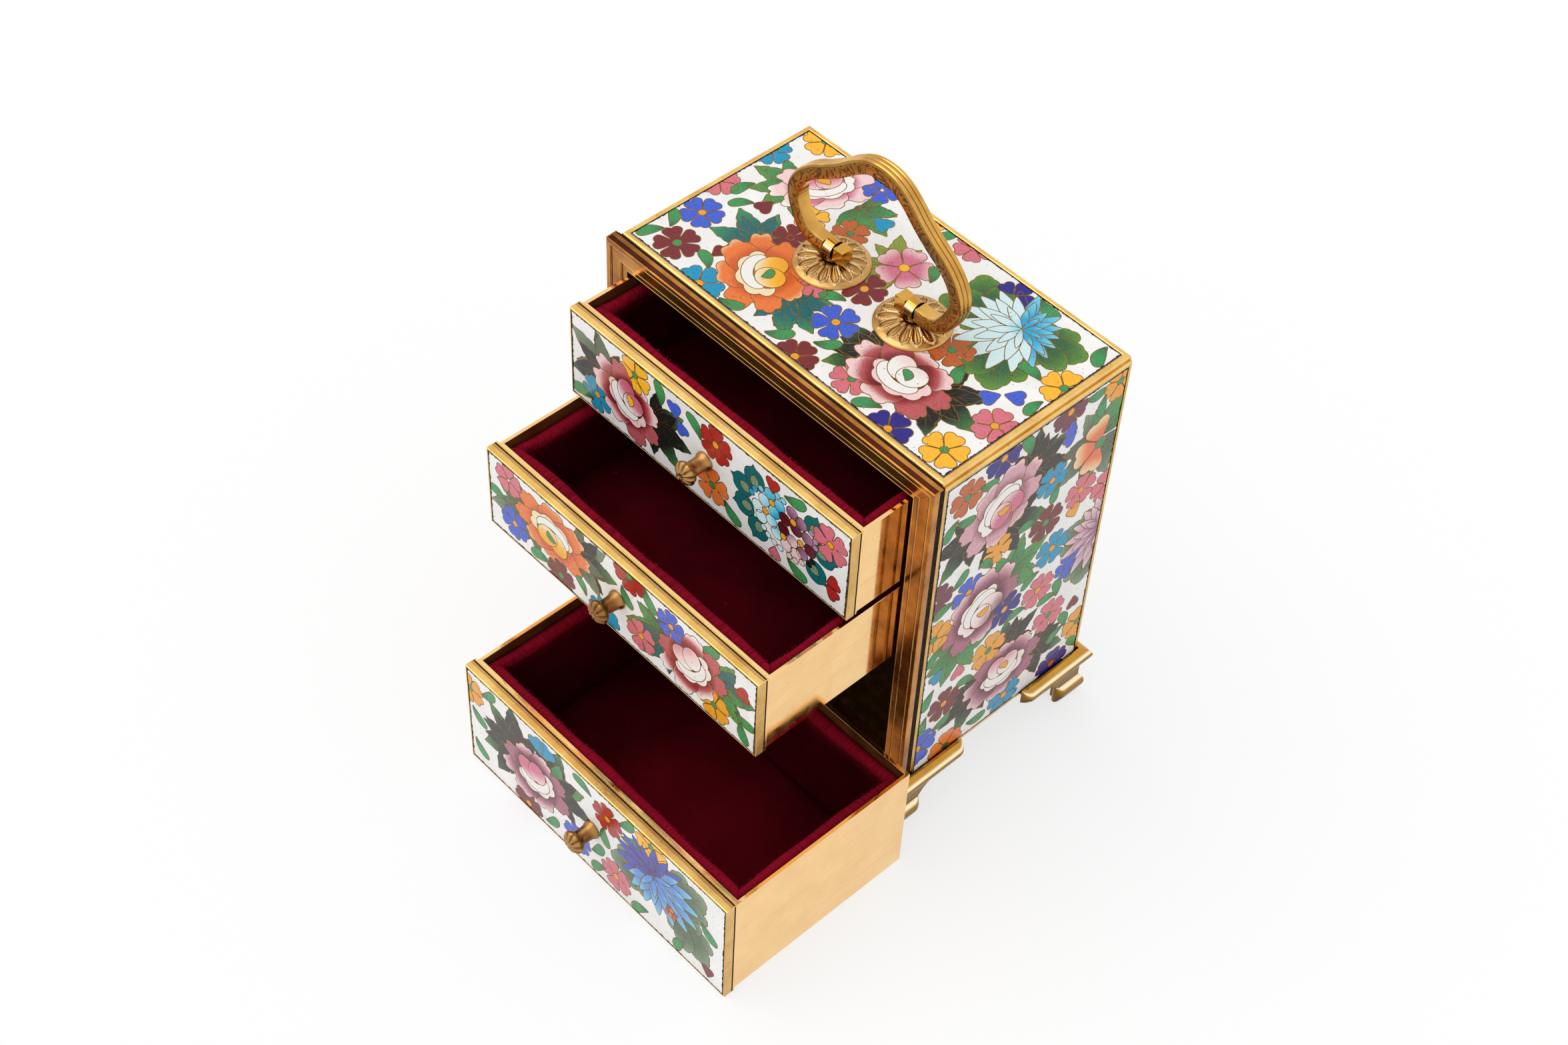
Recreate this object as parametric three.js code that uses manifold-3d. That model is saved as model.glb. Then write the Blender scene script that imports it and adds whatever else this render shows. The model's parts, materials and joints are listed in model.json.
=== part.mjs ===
// Miniature keepsake cabinet in gilt brass and floral enamel: three velvet-lined drawers, bracket
// feet and a swan-neck carrying handle. Millimetres, +Z up, the drawers face -Y.

import * as THREE from 'three';
import { mergeVertices } from 'three/addons/utils/BufferGeometryUtils.js';
import Module from 'manifold-3d';

const wasm = await Module();
wasm.setup();

// Carcass
const cabinetHeight = 112.5;
const footHeight = 13.4;
const carcassWidth = 100.4;
const carcassDepth = 56.6;
const trayThickness = 2.6;
const trayRecess = 1.0;
const sideRim = 1.1;
const topRim = 1.5;
const topLip = 1.3;
const topInset = 0.7;
const enamelSink = 0.1;

// Front frame
const frameOverhang = 0.4;
const frameDepth = 3.5;
const frameBand = 6.2;
const frameGroove = 0.5;

// Shelves
const shelfThickness = 1.4;
const bottomThickness = 2.0;
const guideHeight = 5.0;
const guideThickness = 0.9;

// Drawers
const topShare = 25.8;
const middleShare = 24.1;
const bottomShare = 33.5;
const frontThickness = 3.0;
const frontRim = 0.45;
const frontSetback = 0.2;
const sheet = 0.9;
const boxDrop = 0.65;
const backSpace = 2.8;
const liningThickness = 2.8;
const liningDrop = 3.6;
const padThickness = 1.6;

// Where the drawers stand: pulled out, and the bottom one lifted out and stood in front
const topPull = 16.1;
const middlePull = 40.6;
const bottomStandoff = 6.6;
const bottomAside = 14.8;

// Knobs
const knobReach = 7.0;
const knobCapRadius = 2.95;
const knobStemRadius = 1.85;
const knobRibs = 10;
const knobScrewRadius = 1.0;

// Handle
const postSpacing = 24.9;
const pivotHeight = 4.4;
const bailHeight = 28.5;
const bailHalfWidth = 24.4;
const bailThickness = 3.3;
const bailBreadth = 3.6;
const bailLean = 3;
const eyeRadius = 2.2;
const eyeLength = 2.5;
const pinRadius = 1.0;
const headLength = 2.8;
const postRadius = 1.4;
const collarReach = 0.5;
const collarThickness = 0.2;
const collarSink = 0.45;
const rosetteRadius = 8.75;
const rosetteDome = 2.2;
const rosetteEdge = 0.7;
const rosettePetals = 14;
const nutRadius = 2.9;
const nutThickness = 2.0;

// Feet
const footLength = 22.5;
const mouldingRadius = 2.2;
const mouldingReach = 2.6;
const fasciaThickness = 2.6;
const padLength = 8.6;
const padRadius = 2.8;
const padReach = 1.9;

// Clearances
const enamelGap = 0.12;
const seatGap = 0.05;
const faceGap = 0.3;
const drawerGap = 1.2;
const runGap = 0.15;
const sideGap = 0.6;
const frontGap = 0.25;
const liningGap = 0.1;
const turnGap = 0.3;
const guideGap = 0.1;
const cornerGap = 0.05;

// Materials

function metal(color, roughness) {
  return new THREE.MeshStandardMaterial({ color, roughness, metalness: 1 });
}

const gilt = metal(0xd2a24c, 0.28);
const polished = metal(0xdcb46a, 0.18);
const patina = metal(0xa8743a, 0.38);
const enamel = new THREE.MeshStandardMaterial({ color: 0xf1efe9, roughness: 0.2, metalness: 0 });
const velvet = new THREE.MeshStandardMaterial({ color: 0x7a0422, roughness: 0.95, metalness: 0 });

// Solids

function clean(geometry) {
  const bare = geometry.clone();
  bare.deleteAttribute('normal');
  bare.deleteAttribute('uv');
  const merged = mergeVertices(bare, 1e-4);
  const index = merged.index.array;
  const kept = [];
  for (let i = 0; i < index.length; i += 3) {
    const [a, b, c] = [index[i], index[i + 1], index[i + 2]];
    if (a !== b && b !== c && c !== a) {
      kept.push(a, b, c);
    }
  }
  merged.setIndex(kept);
  return merged;
}

function solid(geometry) {
  const merged = clean(geometry);
  return new wasm.Manifold(new wasm.Mesh({
    numProp: 3,
    vertProperties: new Float32Array(merged.attributes.position.array),
    triVerts: new Uint32Array(merged.index.array),
  }));
}

function surface(body) {
  const mesh = body.getMesh();
  const geometry = new THREE.BufferGeometry();
  const count = mesh.vertProperties.length / mesh.numProp;
  const position = new Float32Array(count * 3);
  for (let i = 0; i < count; i += 1) {
    position.set(mesh.vertProperties.subarray(i * mesh.numProp, i * mesh.numProp + 3), i * 3);
  }
  geometry.setAttribute('position', new THREE.BufferAttribute(position, 3));
  geometry.setIndex(Array.from(mesh.triVerts));
  return geometry;
}

function join(first, ...rest) {
  return surface(rest.reduce((sum, next) => sum.add(solid(next)), solid(first)));
}

function cut(first, ...rest) {
  return surface(rest.reduce((sum, next) => sum.subtract(solid(next)), solid(first)));
}

function block(x0, x1, y0, y1, z0, z1) {
  const geometry = new THREE.BoxGeometry(x1 - x0, y1 - y0, z1 - z0);
  return geometry.translate((x0 + x1) / 2, (y0 + y1) / 2, (z0 + z1) / 2);
}

// A round bar along Z, from z0 to z1
function bar(radius, x, y, z0, z1, sides = 24) {
  const geometry = new THREE.CylinderGeometry(radius, radius, z1 - z0, sides);
  return geometry.rotateX(Math.PI / 2).translate(x, y, (z0 + z1) / 2);
}

// Points on an arc in a profile plane
function arc(cx, cy, radius, from, to, steps) {
  const points = [];
  for (let i = 0; i <= steps; i += 1) {
    const angle = THREE.MathUtils.degToRad(from + (to - from) * i / steps);
    points.push([cx + radius * Math.cos(angle), cy + radius * Math.sin(angle)]);
  }
  return points;
}

// Joins stations of matching section loops into one closed skin
function loft(stations, closed) {
  const size = stations[0].length;
  const position = stations.flat().flat();
  const index = [];
  const spans = closed ? stations.length : stations.length - 1;
  for (let s = 0; s < spans; s += 1) {
    const here = s * size;
    const next = ((s + 1) % stations.length) * size;
    for (let i = 0; i < size; i += 1) {
      const j = (i + 1) % size;
      index.push(here + i, here + j, next + j, here + i, next + j, next + i);
    }
  }
  return { position, index, size, last: (stations.length - 1) * size };
}

function skin(position, index) {
  const geometry = new THREE.BufferGeometry();
  geometry.setAttribute('position', new THREE.Float32BufferAttribute(position, 3));
  geometry.setIndex(index);
  return geometry;
}

// A closed skin's volume is positive when its faces point out
function facingOut(geometry) {
  const p = geometry.attributes.position;
  const index = geometry.index.array;
  const corner = [new THREE.Vector3(), new THREE.Vector3(), new THREE.Vector3()];
  let volume = 0;
  for (let i = 0; i < index.length; i += 3) {
    corner.forEach((v, k) => v.fromBufferAttribute(p, index[i + k]));
    volume += corner[0].dot(corner[1].clone().cross(corner[2]));
  }
  if (volume < 0) {
    for (let i = 0; i < index.length; i += 3) {
      [index[i + 1], index[i + 2]] = [index[i + 2], index[i + 1]];
    }
  }
  return geometry;
}

// A section swept through open stations, with flat ends
function sweep(section, stations) {
  const body = loft(stations, false);
  const flat = section.map(([a, b]) => new THREE.Vector2(a, b));
  const caps = THREE.ShapeUtils.triangulateShape(flat, []);
  const backwards = THREE.ShapeUtils.isClockWise(flat);
  caps.forEach(([a, b, c]) => {
    const [first, second] = backwards ? [b, c] : [c, b];
    body.index.push(a, first, second);
    body.index.push(body.last + a, body.last + second, body.last + first);
  });
  return facingOut(skin(body.position, body.index));
}

// A rim with mitred corners in the XY plane: the section is [inset, height]
function rim(halfWidth, halfHeight, section) {
  const corners = [[1, 1], [-1, 1], [-1, -1], [1, -1]];
  const stations = corners.map(([sx, sy]) => section.map(
    ([inset, height]) => [sx * (halfWidth - inset), sy * (halfHeight - inset), height],
  ));
  const body = loft(stations, true);
  return facingOut(skin(body.position, body.index));
}

// One mitred side of a frame, along X: the section is [inset, height], inset towards +Y
function mitred(length, section) {
  const station = (sign) => section.map(
    ([inset, height]) => [sign * (length / 2 - inset), inset, height],
  );
  return sweep(section, [station(-1), station(1)]);
}

// A moulding round an outside corner: along -X, then along +Y, with rounded ends.
// The section is [reach, height], and reach stands out from the two faces.
function cornerMoulding(section, length, endRound) {
  const steps = 4;
  const ends = [];
  for (let i = steps; i >= 0; i -= 1) {
    const angle = Math.PI * 0.445 * i / steps;
    ends.push([length - endRound + endRound * Math.sin(angle), Math.cos(angle)]);
  }
  const alongX = ends.map(([run, scale]) => section.map(([reach, z]) => [-run, -reach * scale, z]));
  const corner = [section.map(([reach, z]) => [reach, -reach, z])];
  const alongY = ends.slice().reverse().map(
    ([run, scale]) => section.map(([reach, z]) => [reach * scale, run, z]),
  );
  return sweep(section, [...alongX, ...corner, ...alongY]);
}

function mirror(geometry, sx, sy) {
  const copy = clean(geometry);
  copy.scale(sx, sy, 1);
  return facingOut(copy);
}

function turned(profile, sides) {
  const points = profile.map(([radius, height]) => new THREE.Vector2(radius, height));
  return facingOut(clean(new THREE.LatheGeometry(points, sides).rotateX(Math.PI / 2)));
}

// Scene graph

const cabinet = new THREE.Group();

function add(parent, name, geometry, material) {
  const body = clean(geometry);
  body.computeVertexNormals();
  const mesh = new THREE.Mesh(body, material.clone());
  mesh.name = name;
  parent.add(mesh);
}

// Derived sizes

const halfDepth = carcassDepth / 2;
const halfWidth = carcassWidth / 2;
const frameWidth = carcassWidth + 2 * frameOverhang;
const sideTop = cabinetHeight - topLip;
const insideHalf = halfWidth - trayThickness;
const insideBack = halfDepth - trayThickness;
const frameFace = -halfDepth - frameDepth;
const openingHalf = frameWidth / 2 - frameBand;
const openingTop = cabinetHeight - frameBand;
const openingBottom = footHeight + frameBand;
const closedFace = frameFace + frontSetback;
const stackHeight = openingTop - openingBottom - 2 * faceGap - 2 * drawerGap;
const shareSum = topShare + middleShare + bottomShare;
const frontHalf = openingHalf - faceGap;
const drawerDepth = insideBack - backSpace - closedFace;

// Plaques: a brass tray with a rounded rim, and the enamel slab that it holds, facing +Z

function rimSection(width, thickness, round) {
  return [
    [0, 0],
    [0, thickness - round],
    ...arc(round, thickness - round, round, 150, 90, 2),
    [width - round * 0.4, thickness],
    [width, thickness - round * 0.4],
    [width, 0],
  ];
}

function plaqueTray(halfX, halfY, thickness, rimWidth, recess, round) {
  const floor = block(
    -halfX + rimWidth / 2, halfX - rimWidth / 2,
    -halfY + rimWidth / 2, halfY - rimWidth / 2,
    0, thickness - recess,
  );
  return join(rim(halfX, halfY, rimSection(rimWidth, thickness, round)), floor);
}

function enamelSlab(halfX, halfY, thickness, rimWidth, recess) {
  const x = halfX - rimWidth - enamelGap;
  const y = halfY - rimWidth - enamelGap;
  return block(-x, x, -y, y, thickness - recess + seatGap, thickness - enamelSink);
}

function sidePlaques() {
  const halfHeight = (sideTop - footHeight) / 2;
  const middle = (sideTop + footHeight) / 2;
  const round = sideRim * 0.45;
  const place = {
    right: (g) => g.rotateZ(Math.PI / 2).rotateY(Math.PI / 2).translate(insideHalf, 0, middle),
    left: (g) => g.rotateZ(Math.PI / 2).rotateY(-Math.PI / 2).translate(-insideHalf, 0, middle),
  };
  Object.entries(place).forEach(([side, put]) => {
    const tray = plaqueTray(halfDepth, halfHeight, trayThickness, sideRim, trayRecess, round);
    const slab = enamelSlab(halfDepth, halfHeight, trayThickness, sideRim, trayRecess);
    add(cabinet, `${side}_tray`, put(tray), gilt);
    add(cabinet, `${side}_enamel`, put(slab), enamel);
  });
  const backHalf = insideHalf - seatGap;
  const putBack = (g) => g.rotateX(-Math.PI / 2).translate(0, insideBack, middle);
  const tray = plaqueTray(backHalf, halfHeight, trayThickness, sideRim, trayRecess, round);
  const slab = enamelSlab(backHalf, halfHeight, trayThickness, sideRim, trayRecess);
  add(cabinet, 'back_tray', putBack(tray), gilt);
  add(cabinet, 'back_enamel', putBack(slab), enamel);
}

function topPlaque() {
  const halfX = halfWidth - topInset;
  const recess = topLip * 0.65;
  const holes = [-1, 1].map((side) => bar(
    postRadius + turnGap, side * postSpacing / 2, 0, -trayThickness * 2, trayThickness * 2,
  ));
  const tray = plaqueTray(halfX, halfDepth, topLip, topRim, recess, topLip * 0.5);
  const web = block(
    -insideHalf + seatGap, insideHalf - seatGap,
    -halfDepth, insideBack - seatGap,
    -(trayThickness - topLip), topLip - recess,
  );
  const slab = enamelSlab(halfX, halfDepth, topLip, topRim, recess);
  const up = (g) => g.translate(0, 0, cabinetHeight - topLip);
  add(cabinet, 'top_tray', up(cut(join(tray, web), ...holes)), gilt);
  add(cabinet, 'top_enamel', up(cut(slab, ...holes)), enamel);
}

// Front frame: a stepped moulding that falls towards the opening, in four mitred pieces

function frontFrame() {
  const outer = frameBand * 0.21;
  const main = frameBand * 0.71;
  const bevel = 0.18;
  const step = 0.36;
  const bead = 0.3;
  const section = [
    [outer * 0.6, 0],
    [outer * 0.6, frameGroove],
    [0, frameGroove],
    [0, frameDepth - bead],
    ...arc(bead, frameDepth - bead, bead, 150, 90, 2),
    [outer, frameDepth],
    [outer + bevel, frameDepth - step],
    [main, frameDepth - step],
    [main + bevel, frameDepth - 2 * step],
    [frameBand, frameDepth - 2 * step],
    [frameBand, 0],
  ];
  const height = cabinetHeight - footHeight;
  const middle = footHeight + height / 2;
  const stand = (g) => g.rotateX(Math.PI / 2).translate(0, -halfDepth, middle);
  const piece = (length, across, turn) => {
    const side = mitred(length, section).translate(0, -across / 2, 0);
    return stand(side.rotateZ(turn));
  };
  add(cabinet, 'frame_bottom_rail', piece(frameWidth, height, 0), patina);
  add(cabinet, 'frame_top_rail', piece(frameWidth, height, Math.PI), patina);
  add(cabinet, 'frame_right_stile', piece(height, frameWidth, Math.PI / 2), patina);
  add(cabinet, 'frame_left_stile', piece(height, frameWidth, -Math.PI / 2), patina);
}

// Shelves with side ribs that guide the drawer boxes

function shelf(name, top, thickness) {
  const half = insideHalf - seatGap;
  const front = -halfDepth + seatGap;
  const back = insideBack - seatGap;
  const ribs = [-1, 1].map((side) => {
    const near = side * (openingHalf + guideGap);
    const far = side * (openingHalf + guideGap + guideThickness);
    return block(
      Math.min(near, far), Math.max(near, far), front, back, top - thickness / 2, top + guideHeight,
    );
  });
  add(cabinet, name, join(block(-half, half, front, back, top - thickness, top), ...ribs), patina);
}

// Feet: corner brackets with a half-round moulding, a swept fascia and a rolled pad

function foot() {
  const under = footHeight - seatGap;
  const mouldingMiddle = footHeight - 0.4;
  const moulding = [
    [0, mouldingMiddle - mouldingRadius],
    ...arc(0, mouldingMiddle, 1, -75, 75, 6).map(
      ([reach, z]) => [reach * mouldingReach, mouldingMiddle + (z - mouldingMiddle) * mouldingRadius],
    ),
    [0, mouldingMiddle + mouldingRadius],
  ];
  const pad = [
    [-fasciaThickness / 2, 0],
    [padReach * 0.5, 0],
    ...arc(0, padRadius, 1, -50, 70, 5).map(
      ([reach, z]) => [reach * padReach, padRadius + (z - padRadius) * padRadius],
    ),
    [-fasciaThickness / 2, padRadius * 2],
  ];
  const fasciaLength = footLength - mouldingReach - 1.2;
  const low = mouldingMiddle - mouldingRadius - 0.9;
  const outline = new THREE.Shape();
  outline.moveTo(0, 0);
  outline.lineTo(padLength - 2.2, 0);
  outline.lineTo(padLength - 2.2, padRadius * 1.4);
  outline.bezierCurveTo(padLength - 1.4, low * 0.78, padLength + 2, low * 0.94, fasciaLength - 1.6, low);
  outline.quadraticCurveTo(fasciaLength, low + 0.2, fasciaLength, low + 1.4);
  outline.lineTo(fasciaLength, under);
  outline.lineTo(0, under);
  const plate = () => new THREE.ExtrudeGeometry(
    outline, { depth: fasciaThickness, bevelEnabled: false, curveSegments: 6 },
  );
  const standOut = 0.7;
  const alongX = plate().rotateX(Math.PI / 2).scale(-1, 1, 1)
    .translate(standOut, fasciaThickness - standOut, 0);
  const alongY = plate().rotateX(Math.PI / 2).rotateZ(Math.PI / 2)
    .translate(standOut - fasciaThickness, -standOut, 0);
  return join(
    facingOut(clean(alongX)),
    facingOut(clean(alongY)),
    cornerMoulding(moulding, footLength - mouldingReach, mouldingRadius),
    cornerMoulding(pad, padLength - padReach, padRadius * 0.7),
  );
}

function feet() {
  const front = -frameFace + cornerGap;
  const back = halfDepth + cornerGap;
  const side = frameWidth / 2 + cornerGap;
  const corner = foot();
  const place = (name, sx, sy) => {
    const y = sy < 0 ? front : back;
    const copy = mirror(corner, sx, -sy).translate(sx * side, sy * y, 0);
    add(cabinet, name, copy, gilt);
  };
  place('foot_front_right', 1, -1);
  place('foot_front_left', -1, -1);
  place('foot_back_right', 1, 1);
  place('foot_back_left', -1, 1);
}

// Handle: petalled rosettes, posts with an eye, and the bail that turns in the eyes

function rosette() {
  const hole = postRadius + turnGap;
  const dome = (r) => rosetteEdge + (rosetteDome - rosetteEdge) * (1 - (r / rosetteRadius) ** 2);
  const well = postRadius + collarReach + turnGap;
  const lip = well + 0.15;
  const radii = [0.36, 0.5, 0.66, 0.8, 0.89, 0.97].map((share) => share * rosetteRadius);
  const profile = [
    [hole, 0],
    [hole, rosetteDome - collarSink],
    [well, rosetteDome - collarSink],
    [lip, dome(lip)],
    ...radii.map((r) => [r, dome(r)]),
    [rosetteRadius, rosetteEdge * 0.7],
    [rosetteRadius, 0],
    [hole, 0],
  ];
  const geometry = new THREE.LatheGeometry(
    profile.map(([r, z]) => new THREE.Vector2(r, z)), rosettePetals * 4,
  ).rotateX(Math.PI / 2);
  const p = geometry.attributes.position;
  const inner = 0.3 * rosetteRadius;
  const outer = 0.92 * rosetteRadius;
  for (let i = 0; i < p.count; i += 1) {
    const r = Math.hypot(p.getX(i), p.getY(i));
    if (p.getZ(i) > rosetteEdge * 0.8 && r > inner && r < outer) {
      const along = Math.sin(Math.PI * (r - inner) / (outer - inner));
      const across = Math.abs(Math.cos(Math.atan2(p.getY(i), p.getX(i)) * rosettePetals / 2));
      p.setZ(i, p.getZ(i) + 0.38 * along * (across - 0.35));
    }
  }
  return facingOut(clean(geometry));
}

function post() {
  const barrel = cut(
    new THREE.CylinderGeometry(eyeRadius, eyeRadius, eyeLength, 28).rotateZ(Math.PI / 2),
    new THREE.CylinderGeometry(pinRadius + turnGap, pinRadius + turnGap, eyeLength * 2, 20)
      .rotateZ(Math.PI / 2),
  );
  const neckTop = -(pinRadius + turnGap) - 0.15;
  const seat = -pivotHeight - enamelSink + rosetteDome - collarSink + seatGap;
  const collar = bar(postRadius + collarReach, 0, 0, seat, seat + collarThickness);
  const tail = bar(postRadius, 0, 0, -pivotHeight - trayThickness - nutThickness - 0.8, neckTop);
  return join(barrel, collar, tail).translate(0, 0, cabinetHeight + pivotHeight);
}

function bailLine() {
  const start = postSpacing / 2 + eyeLength / 2 + turnGap;
  const lobe = bailHalfWidth;
  const rise = bailHeight;
  const half = [
    [start, 0],
    [start + (lobe - start) * 0.3, 0.002 * rise],
    [start + (lobe - start) * 0.62, 0.045 * rise],
    [lobe * 0.945, 0.16 * rise],
    [lobe, 0.32 * rise],
    [lobe * 0.94, 0.465 * rise],
    [lobe * 0.8, 0.59 * rise],
    [lobe * 0.63, 0.685 * rise],
    [lobe * 0.47, 0.785 * rise],
    [lobe * 0.32, 0.895 * rise],
    [lobe * 0.165, 0.975 * rise],
  ];
  const left = half.map(([x, z]) => new THREE.Vector3(-x, 0, z));
  const right = half.map(([x, z]) => new THREE.Vector3(x, 0, z)).reverse();
  return new THREE.CatmullRomCurve3([...left, new THREE.Vector3(0, 0, rise), ...right]);
}

// Square bar with three reeds on its outer face: [across, outwards]
function bailSection() {
  const b = bailBreadth / 2;
  const t = bailThickness / 2;
  const reeds = [-1, 0, 1].flatMap((k) => arc(k * b * 2 / 3, t - 0.34, b / 3, 150, 30, 2).map(
    ([a, out]) => [a, t - 0.34 + (out - t + 0.34) * 0.9],
  ));
  const inner = [[b, -t + 0.3], [b - 0.3, -t], [-b + 0.3, -t], [-b, -t + 0.3]];
  return [[-b, t - 0.4], ...reeds, [b, t - 0.4], ...inner];
}

function bail() {
  const line = bailLine();
  const steps = 60;
  const section = bailSection();
  const stations = [];
  for (let i = 0; i <= steps; i += 1) {
    const at = line.getPointAt(i / steps);
    const along = i === 0 || i === steps ? new THREE.Vector3(1, 0, 0) : line.getTangentAt(i / steps);
    const flip = i === 0 || i === steps ? -1 : 1;
    const out = new THREE.Vector3(-along.z, 0, along.x).multiplyScalar(flip);
    stations.push(section.map(([a, b]) => [at.x + out.x * b, a, at.z + out.z * b]));
  }
  const bow = sweep(section, stations);
  const pins = [-1, 1].flatMap((side) => {
    const inner = postSpacing / 2 - eyeLength / 2 - turnGap;
    const outer = postSpacing / 2 + eyeLength / 2 + turnGap + 0.8;
    const pin = new THREE.CylinderGeometry(pinRadius, pinRadius, outer - inner + 0.6, 20)
      .rotateZ(Math.PI / 2).translate(side * (outer + inner - 0.6) / 2, 0, 0);
    const h = bailThickness / 2;
    const near = side * inner;
    const far = side * (inner - headLength);
    const head = block(Math.min(near, far), Math.max(near, far), -h, h, -h, h);
    return [pin, head];
  });
  return join(bow, ...pins);
}

function handle() {
  const nutTop = cabinetHeight - trayThickness - seatGap;
  ['left', 'right'].forEach((name, i) => {
    const x = (i === 0 ? -1 : 1) * postSpacing / 2;
    add(cabinet, `rosette_${name}`, rosette().translate(x, 0, cabinetHeight - enamelSink), gilt);
    add(cabinet, `handle_post_${name}`, post().translate(x, 0, 0), gilt);
    const nut = cut(
      bar(nutRadius, x, 0, nutTop - nutThickness, nutTop, 6),
      bar(postRadius + turnGap, x, 0, nutTop - nutThickness * 2, nutTop + nutThickness),
    );
    add(cabinet, `post_nut_${name}`, nut, gilt);
  });
  const swing = new THREE.Group();
  swing.position.set(0, 0, cabinetHeight + pivotHeight);
  swing.rotation.x = -THREE.MathUtils.degToRad(bailLean);
  cabinet.add(swing);
  add(swing, 'handle_bail', bail(), gilt);
}

// Knob: a turned stem with a ribbed flower cap, and the screw that holds it, along -Y

function knob() {
  const cap = knobReach - 2.3;
  const screw = frontThickness + frontGap + sheet + 1.4;
  const profile = [
    [0, -screw],
    [knobScrewRadius, -screw],
    [knobScrewRadius, seatGap],
    [knobStemRadius * 1.3, seatGap],
    [knobStemRadius * 1.25, 0.5],
    [knobStemRadius, 1.2],
    [knobStemRadius * 0.96, cap - 0.4],
    [knobCapRadius * 0.9, cap],
    [knobCapRadius, cap + 0.5],
    [knobCapRadius * 0.97, cap + 1.1],
    [knobCapRadius * 0.78, cap + 1.75],
    [knobCapRadius * 0.42, knobReach - 0.12],
    [0, knobReach],
  ];
  const geometry = turned(profile, knobRibs * 4);
  const p = geometry.attributes.position;
  for (let i = 0; i < p.count; i += 1) {
    const r = Math.hypot(p.getX(i), p.getY(i));
    if (p.getZ(i) > cap + 0.8 && r > 0.1) {
      const valley = 0.5 - 0.5 * Math.cos(Math.atan2(p.getY(i), p.getX(i)) * knobRibs);
      p.setZ(i, p.getZ(i) - 0.35 * valley);
    }
  }
  return geometry.rotateX(Math.PI / 2);
}

// Drawer, with its enamel face at y = 0 and its front tray standing on z = 0

function drawer(name, height) {
  const group = new THREE.Group();
  const middle = height / 2;
  const boxHalf = openingHalf - sideGap;
  const boxFront = frontThickness + frontGap;
  const boxTop = height - boxDrop;
  const boxBottom = faceGap;
  const stand = (g) => g.rotateX(Math.PI / 2).translate(0, frontThickness, middle);
  const screwHole = (radius) => new THREE.CylinderGeometry(radius, radius, boxFront * 6, 20)
    .translate(0, 0, middle);

  const tray = plaqueTray(frontHalf, middle, frontThickness, frontRim, trayRecess, frontRim * 0.55);
  const slab = enamelSlab(frontHalf, middle, frontThickness, frontRim, trayRecess);
  const clearHole = screwHole(knobScrewRadius + turnGap);
  add(group, `${name}_front_tray`, cut(stand(tray), clearHole), gilt);
  add(group, `${name}_front_enamel`, cut(stand(slab), clearHole), enamel);

  const box = cut(
    block(-boxHalf, boxHalf, boxFront, drawerDepth, boxBottom, boxTop),
    block(
      -boxHalf + sheet, boxHalf - sheet,
      boxFront + sheet, drawerDepth - sheet,
      boxBottom + sheet, boxTop + sheet,
    ),
    clearHole,
  );
  add(group, `${name}_box`, box, polished);

  const inHalf = boxHalf - sheet - liningGap;
  const inFront = boxFront + sheet + liningGap;
  const inBack = drawerDepth - sheet - liningGap;
  const floor = boxBottom + sheet + liningGap;
  const liningTop = boxTop - liningDrop;
  const crown = liningThickness / 2;
  const roll = [
    [0, 0],
    ...arc(crown, liningTop - floor - crown, crown, 180, 0, 6),
    [liningThickness, 0],
  ];
  const centre = (inFront + inBack) / 2;
  const walls = rim(inHalf, (inBack - inFront) / 2, roll).translate(0, centre, floor);
  const pocket = new THREE.CylinderGeometry(nutRadius, nutRadius, 3.6, 20).translate(0, inFront, middle);
  add(group, `${name}_lining_walls`, cut(walls, pocket), velvet);

  const inset = liningThickness + liningGap;
  const padRound = [[0, 0], [0, padThickness * 0.5], [0.5, padThickness], [2.5, padThickness], [2.5, 0]];
  const padHalfY = (inBack - inFront) / 2 - inset;
  const padBody = join(
    rim(inHalf - inset, padHalfY, padRound),
    block(-inHalf + inset + 1.5, inHalf - inset - 1.5, -padHalfY + 1.5, padHalfY - 1.5, 0, padThickness),
  );
  add(group, `${name}_lining_floor`, padBody.translate(0, centre, floor), velvet);

  add(group, `${name}_knob`, knob().translate(0, enamelSink - seatGap, middle), gilt);
  const nutFront = boxFront + sheet + seatGap;
  const nut = cut(
    new THREE.CylinderGeometry(nutRadius * 0.8, nutRadius * 0.8, 1.2, 6)
      .translate(0, nutFront + 0.6, middle),
    screwHole(knobScrewRadius + turnGap),
  );
  add(group, `${name}_knob_nut`, nut, gilt);

  cabinet.add(group);
  return group;
}

function drawers() {
  const scale = stackHeight / shareSum;
  const tall = { top: topShare * scale, middle: middleShare * scale, bottom: bottomShare * scale };
  const seat = { top: openingTop - faceGap - tall.top };
  seat.middle = seat.top - drawerGap - tall.middle;
  seat.bottom = seat.middle - drawerGap - tall.bottom;

  const under = faceGap - runGap;
  shelf('upper_shelf', seat.top + under, shelfThickness);
  shelf('lower_shelf', seat.middle + under, shelfThickness);
  shelf('bottom_plate', seat.bottom + under, bottomThickness);

  drawer('top_drawer', tall.top).position.set(0, closedFace - topPull, seat.top);
  drawer('middle_drawer', tall.middle).position.set(0, closedFace - middlePull, seat.middle);
  drawer('bottom_drawer', tall.bottom)
    .position.set(bottomAside, frameFace - bottomStandoff - drawerDepth, 0);
}

sidePlaques();
topPlaque();
frontFrame();
feet();
handle();
drawers();

// The origin is the middle of the footprint, on the table
cabinet.updateMatrixWorld(true);
const footprint = new THREE.Box3().setFromObject(cabinet, true);
const middle = footprint.getCenter(new THREE.Vector3());
cabinet.position.set(-middle.x, -middle.y, -footprint.min.z);

export default cabinet;
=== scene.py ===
"""Looks of the miniature keepsake cabinet: gilt brass, floral enamel and crimson velvet."""

import json
import math
import random

import bmesh
import bpy
import numpy as np
from mathutils import Matrix, Vector

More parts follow.
